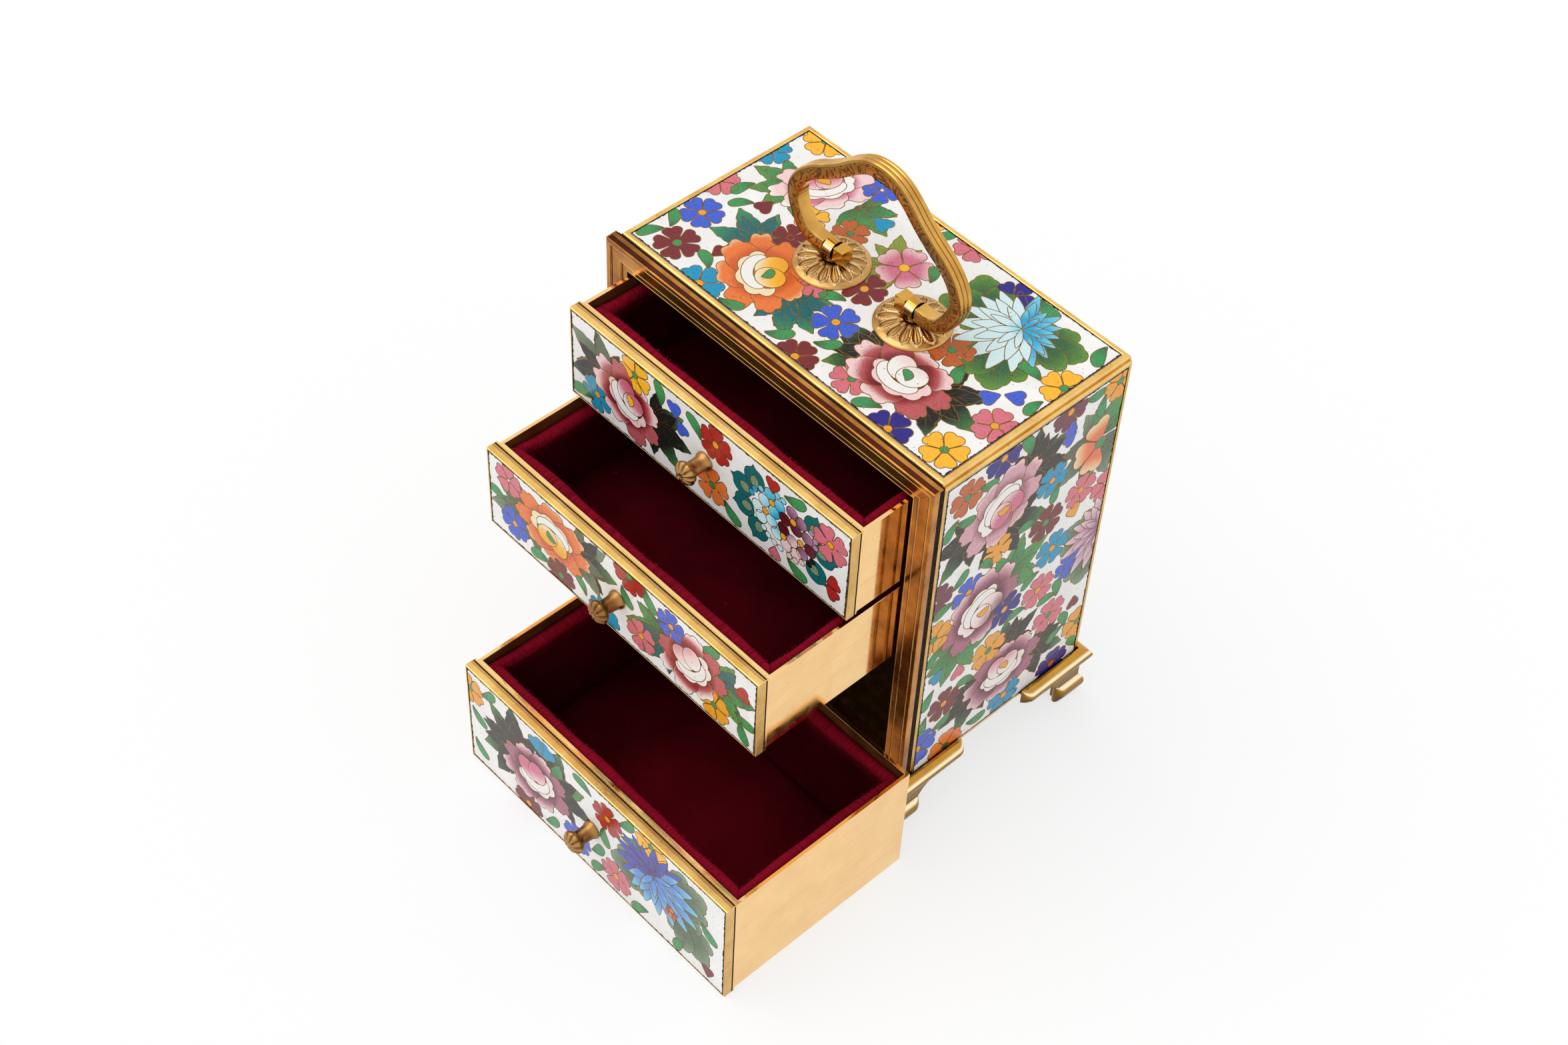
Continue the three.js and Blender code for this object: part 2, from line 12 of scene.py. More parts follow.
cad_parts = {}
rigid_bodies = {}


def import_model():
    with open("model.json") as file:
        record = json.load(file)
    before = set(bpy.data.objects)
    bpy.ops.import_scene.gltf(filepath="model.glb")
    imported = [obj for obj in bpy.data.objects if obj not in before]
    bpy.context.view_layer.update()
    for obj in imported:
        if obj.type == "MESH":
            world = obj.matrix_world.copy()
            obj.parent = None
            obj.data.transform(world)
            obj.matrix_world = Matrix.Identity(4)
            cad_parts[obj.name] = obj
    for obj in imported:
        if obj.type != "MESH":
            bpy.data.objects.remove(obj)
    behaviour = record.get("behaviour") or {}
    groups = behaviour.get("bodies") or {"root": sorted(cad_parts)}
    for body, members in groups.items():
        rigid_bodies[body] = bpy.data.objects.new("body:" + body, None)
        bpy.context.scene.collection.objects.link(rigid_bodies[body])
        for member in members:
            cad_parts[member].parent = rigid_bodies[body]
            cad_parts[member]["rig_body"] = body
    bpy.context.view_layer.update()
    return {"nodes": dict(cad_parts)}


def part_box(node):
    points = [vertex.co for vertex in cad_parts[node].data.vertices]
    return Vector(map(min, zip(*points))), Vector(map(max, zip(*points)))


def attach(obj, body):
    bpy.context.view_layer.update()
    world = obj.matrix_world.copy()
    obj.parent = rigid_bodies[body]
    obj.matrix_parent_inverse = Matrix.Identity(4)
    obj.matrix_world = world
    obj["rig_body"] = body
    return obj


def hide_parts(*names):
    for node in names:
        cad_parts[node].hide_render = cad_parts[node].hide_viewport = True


for leftover in list(bpy.data.objects):
    bpy.data.objects.remove(leftover)

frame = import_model()

MM = 0.001
X, Y, Z = Vector((1, 0, 0)), Vector((0, 1, 0)), Vector((0, 0, 1))
CORNERS = ((-1, -1), (1, -1), (1, 1), (-1, 1))
DRAWERS = ("top_drawer", "middle_drawer", "bottom_drawer")


# Colours, written as on screen

def linear(code):
    """A six-digit screen colour as linear red, green and blue."""
    parts = [int(code[i:i + 2], 16) / 255 for i in (0, 2, 4)]
    return np.array([c / 12.92 if c <= 0.04045 else ((c + 0.055) / 1.055) ** 2.4 for c in parts])


def rgba(code):
    """The same with an opacity of one, as nodes take it."""
    return (*linear(code), 1)


ENAMEL = {name: linear(code) for name, code in {
    "white": "f3f0ea", "cream": "f3e2b8", "yellow": "fbb92e", "amber": "eda22c", "orange": "ea7a36",
    "rust": "c4622f", "coral": "d8717f", "rose": "d4718d", "blush": "f2d0ce", "red": "b02a26",
    "maroon": "7a2429", "plum": "72324a", "wine": "5c1420", "blue": "3f5fce", "navy": "2a2283",
    "violet": "4a3f9e", "sky": "7fd3e6", "cyan": "22a9d8", "turquoise": "1494bd", "ice": "d6eef0",
    "teal": "12686b", "leaf": "3f9455", "moss": "5f8f36", "olive": "8d9c3c", "pine": "33623a",
    "night": "191f1d", "sage": "7d9474", "grey": "55694f", "lilac": "b48aa8", "ember": "d45c28",
    "apricot": "f0b582", "azure": "5f93d4", "heather": "aa687a", "dusk": "d6a3ac",
    "garnet": "8e1f29", "brick": "be5c61",
}.items()}


# Materials

class Paint:
    """A material, with a short way to add its nodes."""

    def __init__(self, name, **sockets):
        self.material = bpy.data.materials.new(name)
        self.material.use_nodes = True
        self.tree = self.material.node_tree
        self.shader = self.tree.nodes["Principled BSDF"]
        self.finish(**sockets)
        self.place = self.add("TexCoord", "Object")

    def give(self, node, values):
        """Sets inputs of a node, each to a plain value or to the output of another node."""
        for key, value in values.items():
            if isinstance(value, bpy.types.NodeSocket):
                self.tree.links.new(value, node.inputs[key])
            else:
                node.inputs[key].default_value = value

    def add(self, kind, output=0, settings=None, **values):
        """An output of a new node; an underscore stands for the space in an input's name."""
        node = self.tree.nodes.new("ShaderNode" + kind)
        for key, value in (settings or {}).items():
            setattr(node, key, value)
        self.give(node, {key.replace("_", " "): value for key, value in values.items()})
        return node.outputs[output]

    def attribute(self, name, output="Fac"):
        """A value stored on the points of the piece."""
        return self.add("Attribute", output, {"attribute_name": name})

    def noise(self, scale, detail=3, stretch=(1, 1, 1), distortion=0.0):
        """Cloudy noise from about 0.3 to 0.7."""
        where = self.place
        if stretch != (1, 1, 1):
            where = self.add("Mapping", Vector=self.place, Scale=stretch)
        return self.add(
            "TexNoise", "Fac", Vector=where, Scale=scale, Detail=detail, Distortion=distortion)

    def span(self, value, low, high, bottom=0.0, top=1.0):
        """The value moved from low..high to bottom..top, and held there."""
        return self.add(
            "MapRange", "Result", Value=value, From_Min=low, From_Max=high, To_Min=bottom, To_Max=top)

    def mix(self, share, first, second, blend="MIX"):
        """Two colours mixed; 6, 7 and 2 are the colour sockets of a mix node."""
        mixed = self.add("Mix", 2, {"data_type": "RGBA", "blend_type": blend})
        self.give(mixed.node, {0: share, 6: first, 7: second})
        return mixed

    def maths(self, operation, first, second):
        """A sum on two values."""
        result = self.add("Math", 0, {"operation": operation})
        self.give(result.node, {0: first, 1: second})
        return result

    def bump(self, height, depth, strength=0.5, after=None):
        """A normal that follows a height, on top of an earlier normal."""
        values = {"Height": height, "Distance": depth, "Strength": strength}
        if after is not None:
            values["Normal"] = after
        return self.add("Bump", **values)

    def finish(self, **sockets):
        """Sets inputs of the material's shader."""
        self.give(self.shader, {key.replace("_", " "): value for key, value in sockets.items()})
        return self.material


def brass(name, light, dark, tarnish, rough, speck=0.62, streak=(1, 1, 1), grain=0.3, cloudy=1.0,
          painted_light=0.0, relief_shading=False, metallic=1.0):
    """Gilt or bare brass: cloudy colour, tarnish specks, fine scratches, and if asked, painted highlight and
    shade by facing or on marked relief.
    """
    p = Paint(name, Metallic=metallic)
    clouds = p.span(p.noise(140, 4), 0.35, 0.68, 0, cloudy)
    specks = p.span(p.noise(1900, 4), speck, speck + 0.08, 0, 0.75)
    patches = p.span(p.noise(420, 5), 0.56, 0.72)
    scratches = p.noise(900, 2, streak)
    colour = p.mix(clouds, rgba(light), rgba(dark))
    colour = p.mix(p.maths("MULTIPLY", specks, patches), colour, rgba(tarnish))
    colour = p.mix(p.span(scratches, 0.56, 0.72, 0, 0.35), colour, rgba(dark))
    # painted highlight and shade by the way each face is turned
    if painted_light:
        colour = painted_highlight_and_shade(p, colour, tarnish, painted_light)
    # painted shade and highlight, read from values stored on the piece's points
    if relief_shading:
        colour = relief_shade_and_highlight(p, colour, tarnish)
    roughness = p.span(p.noise(300, 3), 0.3, 0.7, *rough)
    roughness = p.maths("ADD", roughness, p.maths("MULTIPLY", specks, 0.2))
    normal = p.bump(scratches, 0.02 * MM, grain)
    normal = p.bump(p.noise(260, 2), 0.05 * MM, grain * 0.6 * cloudy, normal)
    return p.finish(Base_Color=colour, Roughness=roughness, Normal=normal)


def painted_highlight_and_shade(p, colour, tarnish, share):
    """Painted highlight in a band where a face leans back, and painted shade in the tarnish colour where it
    looks down.
    """
    facing = p.add("SeparateXYZ", "Z", Vector=p.add("NewGeometry", "Normal"))
    leaning = p.span(facing, 0.34, 0.52, 0, share)
    highlight_band = p.maths("MULTIPLY", leaning, p.span(facing, 0.64, 0.82, 1, 0))
    # painted highlight: a near-white band on faces that lean back
    colour = p.mix(highlight_band, colour, rgba("fff3cf"))
    # painted shade: the tarnish colour on faces that look down
    return p.mix(p.span(facing, -0.2, 0.4, share, 0), colour, rgba(tarnish))


def relief_shade_and_highlight(p, colour, tarnish):
    """Painted shade in the tarnish colour where the piece is marked above zero, and painted highlight on the
    ridges marked below zero.
    """
    painted_shade_and_highlight = p.attribute("painted_shade_and_highlight")
    colour = p.mix(p.span(painted_shade_and_highlight, 0, 1, 0, 0.85), colour, rgba(tarnish))
    return p.mix(p.span(painted_shade_and_highlight, 0, -1, 0, 0.8), colour, rgba("ffe2b0"))


def engraved_brass(name):
    """The bail: dark scrollwork on the two broad cheeks, bright reeds outside."""
    p = Paint(name, Metallic=1.0)
    cheek = p.attribute("cheek")
    painted_shade_and_highlight = p.attribute("painted_shade_and_highlight")
    swirl = p.noise(300, 1, distortion=0.9)
    scroll = p.maths("SINE", p.maths("MULTIPLY", swirl, 40.0), 0.0)
    cut = p.maths("MULTIPLY", p.span(scroll, -0.7, 0.1, 1, 0), cheek)
    clouds = p.span(p.noise(160, 4), 0.35, 0.7)
    colour = p.mix(clouds, rgba("e2b05c"), rgba("bd8a3e"))
    colour = p.mix(cheek, colour, rgba("c08c44"))
    colour = p.mix(p.maths("MULTIPLY", cut, 0.85), colour, rgba("6a4218"))
    # painted shade in the grooves between the reeds and along the cheeks' edges
    colour = p.mix(painted_shade_and_highlight, colour, rgba("6b451b"))
    normal = p.bump(p.maths("SUBTRACT", 1.0, cut), 0.08 * MM, 0.6)
    normal = p.bump(p.noise(700, 3), 0.02 * MM, 0.3, normal)
    rough = p.maths("ADD", p.span(cut, 0, 1, 0.16, 0.36), p.maths("MULTIPLY", cheek, 0.1))
    return p.finish(Base_Color=colour, Roughness=rough, Normal=normal)


def white_enamel():
    """The ground of every panel: off-white, a little stained, with pinholes."""
    p = Paint("white_enamel", Specular_IOR_Level=0.32)
    clouds = p.span(p.noise(90, 4), 0.3, 0.7)
    colour = p.mix(clouds, rgba("f8f6f3"), rgba("ebe9e6"))
    stain = p.span(p.noise(260, 5), 0.63, 0.78, 0, 0.3)
    colour = p.mix(stain, colour, rgba("b9ab96"))
    colour = p.mix(pits(p), colour, rgba("5a4c3a"))
    normal = p.bump(p.noise(420, 2), 0.03 * MM, 0.25)
    roughness = p.span(p.noise(500, 3), 0.3, 0.7, 0.13, 0.26)
    return p.finish(Base_Color=colour, Roughness=roughness, Normal=normal)


def pits(p, scale=1100, few=0.82):
    """Pinholes left by the fired glass: small dots in a few of the cells."""
    distance = p.add("TexVoronoi", "Distance", Vector=p.place, Scale=scale)
    dot = p.span(distance, 0.1, 0.2, 1, 0)
    chosen = p.add("SeparateColor", "Red", Color=distance.node.outputs["Color"])
    return p.maths("MULTIPLY", dot, p.span(chosen, few, few + 0.02, 0, 0.7))


def coloured_enamel():
    """Takes its colour from the drawing, with the stipple of ground glass."""
    p = Paint("coloured_enamel", Specular_IOR_Level=0.3)
    stipple = p.noise(3200, 2)
    pale, dark = p.span(stipple, 0.52, 0.72, 0, 0.3), p.span(stipple, 0.48, 0.3, 0, 0.45)
    colour = p.mix(pale, p.attribute("tint", "Color"), rgba("ffffff"), "SOFT_LIGHT")
    colour = p.mix(dark, colour, rgba("000000"), "SOFT_LIGHT")
    colour = p.mix(pits(p, 900, 0.72), colour, rgba("2a2018"))
    normal = p.bump(p.noise(520, 2), 0.03 * MM, 0.25)
    roughness = p.span(p.noise(600, 3), 0.3, 0.7, 0.16, 0.3)
    return p.finish(Base_Color=colour, Roughness=roughness, Normal=normal)


def velvet(name, deep, bright):
    """Cut pile: deep colour, paler where the spread value is set: painted sheen along the rolled crests and
    a painted pool of light on a floor.
    """
    p = Paint(name, Roughness=1.0, Specular_IOR_Level=0.05, Sheen_Weight=0.12, Sheen_Roughness=0.4,
              Sheen_Tint=rgba("b00828"))
    paler_share = p.span(p.noise(60, 3), 0.3, 0.72, 0.03, 0.22)
    pile = p.noise(2400, 2)
    height = p.add("SeparateXYZ", "Z", Vector=p.place)
    across = p.add("CombineXYZ", X=p.attribute("run"), Y=p.maths("MULTIPLY", height, 0.3))
    ticks = p.add("TexNoise", "Fac", Vector=across, Scale=2600, Detail=3)
    # painted sheen, streaked by the pile, where the spread value is set
    painted_sheen = p.maths("MULTIPLY", p.attribute("spread"), p.span(ticks, 0.36, 0.62, 0.4, 1.0))
    colour = p.mix(p.maths("ADD", paler_share, painted_sheen), rgba(deep), rgba(bright))
    colour = p.mix(p.span(pile, 0.55, 0.8, 0, 0.4), colour, rgba("d03058"), "SOFT_LIGHT")
    normal = p.bump(pile, 0.16 * MM, 0.7)
    normal = p.bump(p.noise(700, 3), 0.2 * MM, 0.4, normal)
    return p.finish(Base_Color=colour, Normal=normal)


def plain(name, code, other, scale, rough, **sockets):
    """Two colours in soft clouds."""
    p = Paint(name, **sockets)
    share = p.span(p.noise(scale, 4), 0.35, 0.65)
    roughness = p.span(p.noise(scale * 2, 3), 0.3, 0.7, *rough)
    return p.finish(Base_Color=p.mix(share, rgba(code), rgba(other)), Roughness=roughness)


# GILT and CAST carry painted highlight and shade by facing, CAST the most; SATIN and BRONZE carry painted
# shade and highlight on marked relief
GILT = brass("gilt_rim", "f8ce7c", "e0ad58", "4a3013", (0.14, 0.28), 0.58, painted_light=0.3)
CAST = brass("cast_gilt", "c9943e", "a9772b", "3e280c", (0.07, 0.15), speck=0.64, cloudy=0.6, painted_light=0.95)
SATIN = brass("satin_gilt", "d0a566", "b2864c", "4a2a0c", (0.2, 0.34), speck=0.62, grain=0.5, relief_shading=True)
SHEET = brass("polished_sheet", "fbd292", "edb976", "7a5222", (0.05, 0.12), 0.62, (0.3, 0.03, 1), 0.1, 0.4)
PATINA = brass("patinated_frame", "c98a40", "8e5724", "3c200b", (0.14, 0.26), 0.62, metallic=0.88)
INNER = brass("inner_brass", "8c5a2e", "683c1a", "2e1808", (0.3, 0.45), 0.62, metallic=0.6)
# a very dark brass, used only as painted shade on the front of the frame's top edge
SHADED_BRASS = brass("shaded_brass", "5e2a10", "431a08", "200c04", (0.2, 0.34), 0.62, metallic=0.9)
# worn brass on the frame's edges, made lighter as painted highlight
EDGE = brass("worn_edge_highlight", "dcae6c", "bd8a4c", "7a5222", (0.24, 0.38), 0.66)
BRONZE = brass("bronzed_knob", "c2925a", "9a6c3c", "40280f", (0.24, 0.4), 0.6, grain=0.5, relief_shading=True)
PIN = brass("gilt_pin", "dca84e", "bf8834", "4a3010", (0.07, 0.15), 0.66, cloudy=0.6)
BAIL = engraved_brass("engraved_bail")
WHITE = white_enamel()
GLAZE = coloured_enamel()
WIRE = plain("cloison_wire", "9a7438", "6e4f22", 900, (0.3, 0.5), Metallic=1.0)
# dark lines: oxide at the enamel's edge and dark joints, and painted shade in and round the frame's groove
OXIDE_AND_SHADE = plain("oxide_and_shade_line", "33241a", "150d07", 1500, (0.6, 0.85), Specular_IOR_Level=0.08)
BAY = plain("bay_brown", "5c4422", "38270f", 300, (0.3, 0.5), Specular_IOR_Level=0.3)
VELVET = velvet("crimson_velvet", "310004", "8c0e27")
PILE = velvet("velvet_pile", "82102c", "b04a66")


# Meshes

def new_object(name, points, faces, material, body, rounded=True):
    """A piece from points in metres, riding on a body."""
    mesh = bpy.data.meshes.new(name)
    mesh.from_pydata([tuple(p) for p in points], [], faces)
    mesh.materials.append(material)
    mesh.polygons.foreach_set("use_smooth", [rounded] * len(mesh.polygons))
    mesh.update()
    piece = bpy.data.objects.new(name, mesh)
    bpy.context.scene.collection.objects.link(piece)
    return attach(piece, body)


def flat_piece(name, points, faces, material, body):
    """A piece of flat faces."""
    piece = new_object(name, points, faces, material, body, False)
    return piece


def set_values(piece, name, values):
    """A number for each point of a piece, which its material reads."""
    piece.data.attributes.new(name, "FLOAT", "POINT").data.foreach_set("value", values)


def grid_faces(rows, columns, wrap=False):
    """Quads of a grid of points; wrap joins the last column to the first."""
    last = columns if wrap else columns - 1
    return [
        (r * columns + c, r * columns + (c + 1) % columns,
         (r + 1) * columns + (c + 1) % columns, (r + 1) * columns + c)
        for r in range(rows - 1) for c in range(last)
    ]


def flipped(faces):
    """The same faces, looking the other way."""
    return [face[::-1] for face in faces]


def shifted(faces, start):
    """The same faces, for points that begin later in a list."""
    return [tuple(start + i for i in face) for face in faces]


def tube_faces(rows, columns):
    """Faces round a tube of points, with one more over each end."""
    total = rows * columns
    ends = [tuple(range(columns)), tuple(range(total - columns, total))[::-1]]
    return flipped(grid_faces(rows, columns, True)) + ends


def finished_copy(node, material, soften, crease=32):
    """A solid in place of its node, with edges sharper than the crease worn round by soften mm."""
    source = frame["nodes"][node]
    crease_angle, flat_angle, weld = math.radians(crease), math.radians(0.5), 1e-6
    work = bmesh.new()
    work.from_mesh(source.data)
    bmesh.ops.remove_doubles(work, verts=work.verts, dist=weld)
    bmesh.ops.dissolve_limit(work, angle_limit=flat_angle, verts=work.verts, edges=work.edges)
    edges = [e for e in work.edges if len(e.link_faces) == 2 and e.calc_face_angle(0) > crease_angle]
    bmesh.ops.bevel(work, geom=edges, offset=soften * MM, segments=3, profile=0.5,
                    affect="EDGES", clamp_overlap=True)
    mesh = bpy.data.meshes.new(f"{node}_finish")
    work.to_mesh(mesh)
    work.free()
    mesh.materials.append(material)
    mesh.polygons.foreach_set("use_smooth", [True] * len(mesh.polygons))
    mesh.set_sharp_from_angle(angle=crease_angle)
    piece = bpy.data.objects.new(f"{node}_finish", mesh)
    bpy.context.scene.collection.objects.link(piece)
    flats = piece.modifiers.new("flat_faces", "WEIGHTED_NORMAL")
    flats.keep_sharp = True
    flats.weight = 100
    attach(piece, source["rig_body"])
    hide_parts(node)
    return piece


def dress_metal():
    """Every brass piece: trays, frame, feet, handle, shelves and drawers."""
    for side in ("top", "left", "right", "back"):
        finished_copy(f"{side}_tray", GILT, 0.25)
    for piece in ("top_rail", "bottom_rail", "left_stile", "right_stile"):
        finished_copy(f"frame_{piece}", PATINA, 0.05)
    for corner in ("front_left", "front_right", "back_left", "back_right"):
        finished_copy(f"foot_{corner}", CAST, 0.45)
    handle_bow()
    handle_pins()
    for side in ("left", "right"):
        finished_copy(f"handle_post_{side}", CAST, 0.12)
        rosette(f"rosette_{side}")
        frame["nodes"][f"post_nut_{side}"].data.materials[0] = CAST
    for node in ("upper_shelf", "lower_shelf", "bottom_plate"):
        frame["nodes"][node].data.materials[0] = BAY
    for drawer in DRAWERS:
        finished_copy(f"{drawer}_box", SHEET, 0.12)
        finished_copy(f"{drawer}_front_tray", GILT, 0.3)
        knob(drawer)
        joint_line(drawer)
        bare_walls(drawer)
        frame["nodes"][f"{drawer}_knob_nut"].data.materials[0] = CAST


def ring_lines(name, loops, width, rise, material, body):
    """Thin ridges round a front; each loop is its middle, its half sizes and how far back it is."""
    shoulder, base = rise * 0.75, 0.005 * MM
    section = ((width / 2, base), (width / 4, shoulder), (0, rise),
               (-width / 4, shoulder), (-width / 2, base))
    points, faces = [], []
    for (x, z), (half_x, half_z), y in loops:
        for k in range(4):
            faces += shifted(grid_faces(len(section), 2), len(points))
            for grow, up in section:
                for sx, sz in (CORNERS[k], CORNERS[(k + 1) % 4]):
                    points.append((x + sx * (half_x + grow), y - up, z + sz * (half_z + grow)))
    piece = new_object(name, points, faces, material, body)


def side_strips(name, sides, front, back, bottom, top, material, body):
    """Two thin upright strips: the first side looks left and the second looks right."""
    points = []
    for x in sides:
        points += [(x, front, bottom), (x, back, bottom), (x, back, top), (x, front, top)]
    flat_piece(name, points, [(3, 2, 1, 0), (4, 5, 6, 7)], material, body)


def top_strip(name, left, right, front, back, height, material, body):
    """One thin level strip that looks up."""
    points = [(left, front, height), (right, front, height), (right, back, height), (left, back, height)]
    flat_piece(name, points, [(0, 1, 2, 3)], material, body)


def frame_lines():
    """Ridges of worn brass, lightened as painted highlight, where the front frame steps down, and the dark
    line beside each.
    """
    low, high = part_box("frame_left_stile")
    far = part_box("frame_right_stile")[1].x
    middle = ((low.x + far) / 2, (low.z + high.z) / 2)
    half = np.array(((far - low.x) / 2, (high.z - low.z) / 2))
    band, step, width = 6.2 * MM, 0.36 * MM, 0.28 * MM
    outside, inside = 0.12 * MM, 0.3 * MM
    bright, dark = [], []
    for share, drop in ((0.21, 0), (0.71, 1)):
        inset = band * share
        bright.append((middle, half - inset + outside, low.y + step * drop))
        dark.append((middle, half - inset - inside, low.y + step * (drop + 1)))
    bright.append((middle, half - band + outside, low.y + 2 * step))
    ring_lines("frame_bright_lines", bright, width, 0.09 * MM, EDGE, "cabinet")
    ring_lines("frame_dark_lines", dark, width, 0.015 * MM, OXIDE_AND_SHADE, "cabinet")
    joint = high.y - 0.5 * MM
    # painted shade in the groove behind the frame, and on the frame's outer faces before the joint
    dark_ring("frame_groove_shade", middle, half - 0.45 * MM, joint, high.y - 0.01 * MM)
    dark_ring("frame_outer_shade", middle, half + 0.015 * MM, high.y - 0.85 * MM, joint)
    frame_painted_shade(low, high, far)


def dark_ring(name, middle, half, front, back):
    """A strip of painted shade that looks outward, all round the frame."""
    points = []
    for y in (front, back):
        points += [(middle[0] + sx * half[0], y, middle[1] + sz * half[1]) for sx, sz in CORNERS]
    flat_piece(name, points, grid_faces(2, 4, True), OXIDE_AND_SHADE, "cabinet")


def frame_painted_shade(low, high, far):
    """Painted shade beside the frame's joint with the sides, and along the front of its top edge."""
    proud, inset = 0.012 * MM, 0.35 * MM
    side_strips("frame_side_shade", (low.x - proud, far + proud), high.y - 1.9 * MM, high.y - 0.8 * MM,
                low.z, high.z, OXIDE_AND_SHADE, "cabinet")
    # a very dark brass strip: painted shade
    top_strip("frame_shaded_brow", low.x + inset, far - inset, low.y + inset, low.y + 1.6 * MM,
              high.z + proud, SHADED_BRASS, "cabinet")


def joint_line(drawer):
    """The dark line round a drawer's front, the dull band before it and the bright edge behind."""
    low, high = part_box(f"{drawer}_front_tray")
    score, rear = high.y - 0.8 * MM, high.y - 0.42 * MM
    proud, lift, corner, foot = 0.012 * MM, 0.006 * MM, 0.18 * MM, 0.3 * MM
    left, right, shoulder, top = low.x - proud, high.x + proud, high.z - corner, high.z + proud
    outline = ((left, low.z), (left, shoulder), (low.x + corner, top),
               (high.x - corner, top), (right, shoulder), (right, low.z))
    points = [(x, y, z) for y in (score, rear) for x, z in outline]
    flat_piece(f"{drawer}_joint_line", points, grid_faces(2, len(outline)), OXIDE_AND_SHADE, drawer)
    top_strip(f"{drawer}_dull_band", low.x + corner, high.x - corner, score - 0.7 * MM, score,
              high.z + lift, SATIN, drawer)
    side_strips(f"{drawer}_front_cheeks", (low.x - lift, high.x + lift), rear, high.y,
                low.z + foot, shoulder, SHEET, drawer)


def bare_walls(drawer):
    """The dull brass inside a drawer's walls, which shows above the velvet."""
    low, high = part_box(f"{drawer}_lining_walls")
    top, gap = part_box(f"{drawer}_box")[1].z - 0.1 * MM, 0.01 * MM
    left, right, front, back = low.x + gap, high.x - gap, low.y + gap, high.y - gap
    ring = [(left, front), (right, front), (right, back), (left, back)]
    points = [(x, y, z) for z in (high.z, top) for x, y in ring]
    faces = flipped(grid_faces(2, len(ring), True))
    flat_piece(f"{drawer}_bare_walls", points, faces, INNER, drawer)


# Depth behind the front of a knob and radius there, and the depths of its grooves, which get painted shade,
# in millimetres
KNOB_PROFILE = (
    (0.1, 0.02), (0.12, 0.3), (0.1, 0.6), (0.04, 0.72), (0.06, 0.95), (0.16, 1.5), (0.38, 2.05), (0.7, 2.5),
    (1.0, 2.78), (1.25, 2.92), (1.5, 2.95), (1.8, 2.9), (1.95, 2.72), (2.05, 2.5), (2.12, 2.5), (2.25, 2.66),
    (2.4, 2.5), (2.5, 2.1), (2.7, 1.92), (3.6, 1.84), (4.8, 1.84), (5.7, 1.95), (6.2, 2.2), (6.5, 2.38),
    (6.92, 2.4), (6.94, 1.0))
KNOB_GROOVES = (0.04, 2.05, 2.12, 2.7)


def knob(drawer):
    """A turned stem with a fluted flower cap, pointing forward."""
    node = f"{drawer}_knob"
    low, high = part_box(node)
    middle_x, middle_z = (low.x + high.x) / 2, (low.z + high.z) / 2
    ribs, around = 10, 100
    back = (high.y - low.y) / MM
    profile = [*KNOB_PROFILE, (back, 1.0), (back, 0.02)]
    points, painted_shade_and_highlight = [], []
    for depth, radius in profile:
        face = max(0, min(1, (radius - 0.75) / 0.5)) * (depth < 1.6)
        groove_shade = 0.8 if depth in KNOB_GROOVES else 0.0
        for k in range(around):
            a = 2 * math.pi * k / around
            valley = (0.5 - 0.5 * math.cos(a * ribs)) ** 2
            sink = 0.36 * valley * face * (1 - 0.5 * (depth > 1.2))
            edge = radius * (1 - 0.035 * valley * (1.2 < depth < 2.0)) * MM
            y = low.y + (depth + sink) * MM
            points.append((middle_x + edge * math.cos(a), y, middle_z + edge * math.sin(a)))
            # painted shade in the grooves and down the flutes of the cap
            painted_shade_and_highlight.append(max(groove_shade, 0.9 * valley * face))
    faces = tube_faces(len(profile), around)
    piece = new_object(f"{drawer}_knob_flower", points, faces, BRONZE, drawer)
    set_values(piece, "painted_shade_and_highlight", painted_shade_and_highlight)
    piece.data.set_sharp_from_angle(angle=math.radians(50))
    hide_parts(node)


def through(knots, steps):
    """A smooth open curve through the knots, evenly paced by the root of their distance."""
    p = np.vstack([2 * knots[0] - knots[1], knots, 2 * knots[-1] - knots[-2]])
    t = np.concatenate([[0], np.cumsum(np.linalg.norm(np.diff(p, axis=0), axis=1) ** 0.5)])

    def blend(at, first, second, a, b):
        return first * (t[b] - at) / (t[b] - t[a]) + second * (at - t[a]) / (t[b] - t[a])

    curve = []
    for i in range(1, len(p) - 2):
        for at in np.linspace(t[i], t[i + 1], steps, endpoint=False):
            one = blend(at, p[i - 1], p[i], i - 1, i)
            two = blend(at, p[i], p[i + 1], i, i + 1)
            three = blend(at, p[i + 1], p[i + 2], i + 1, i + 2)
            before = blend(at, one, two, i - 1, i + 1)
            after = blend(at, two, three, i, i + 2)
            curve.append(blend(at, before, after, i, i + 1))
    return np.array([*curve, knots[-1]])


# The bow in millimetres: where it leaves its pins, its widest place, its height, and its pivot in metres
BOW_START, BOW_LOBE, BOW_RISE = 14.0, 24.4, 28.5
BOW_PIVOT = np.array((-2.825, 34.45, 116.9)) * MM
BOW_SHARES = ((0.94, 0.16), (1, 0.32), (0.94, 0.465), (0.8, 0.59), (0.63, 0.685), (0.47, 0.785),
              (0.32, 0.895), (0.165, 0.975))


def bow_line():
    """The swan-neck line of the bow, sideways and up from its pivot."""
    swell = BOW_LOBE - BOW_START
    half = [(BOW_START, 0), (BOW_START + swell * 0.3, 0.002 * BOW_RISE),
            (BOW_START + swell * 0.62, 0.045 * BOW_RISE)]
    half += [(BOW_LOBE * x, BOW_RISE * z) for x, z in BOW_SHARES]
    return through(np.array([(-x, z) for x, z in half] + [(0, BOW_RISE)] + half[::-1]), 9)


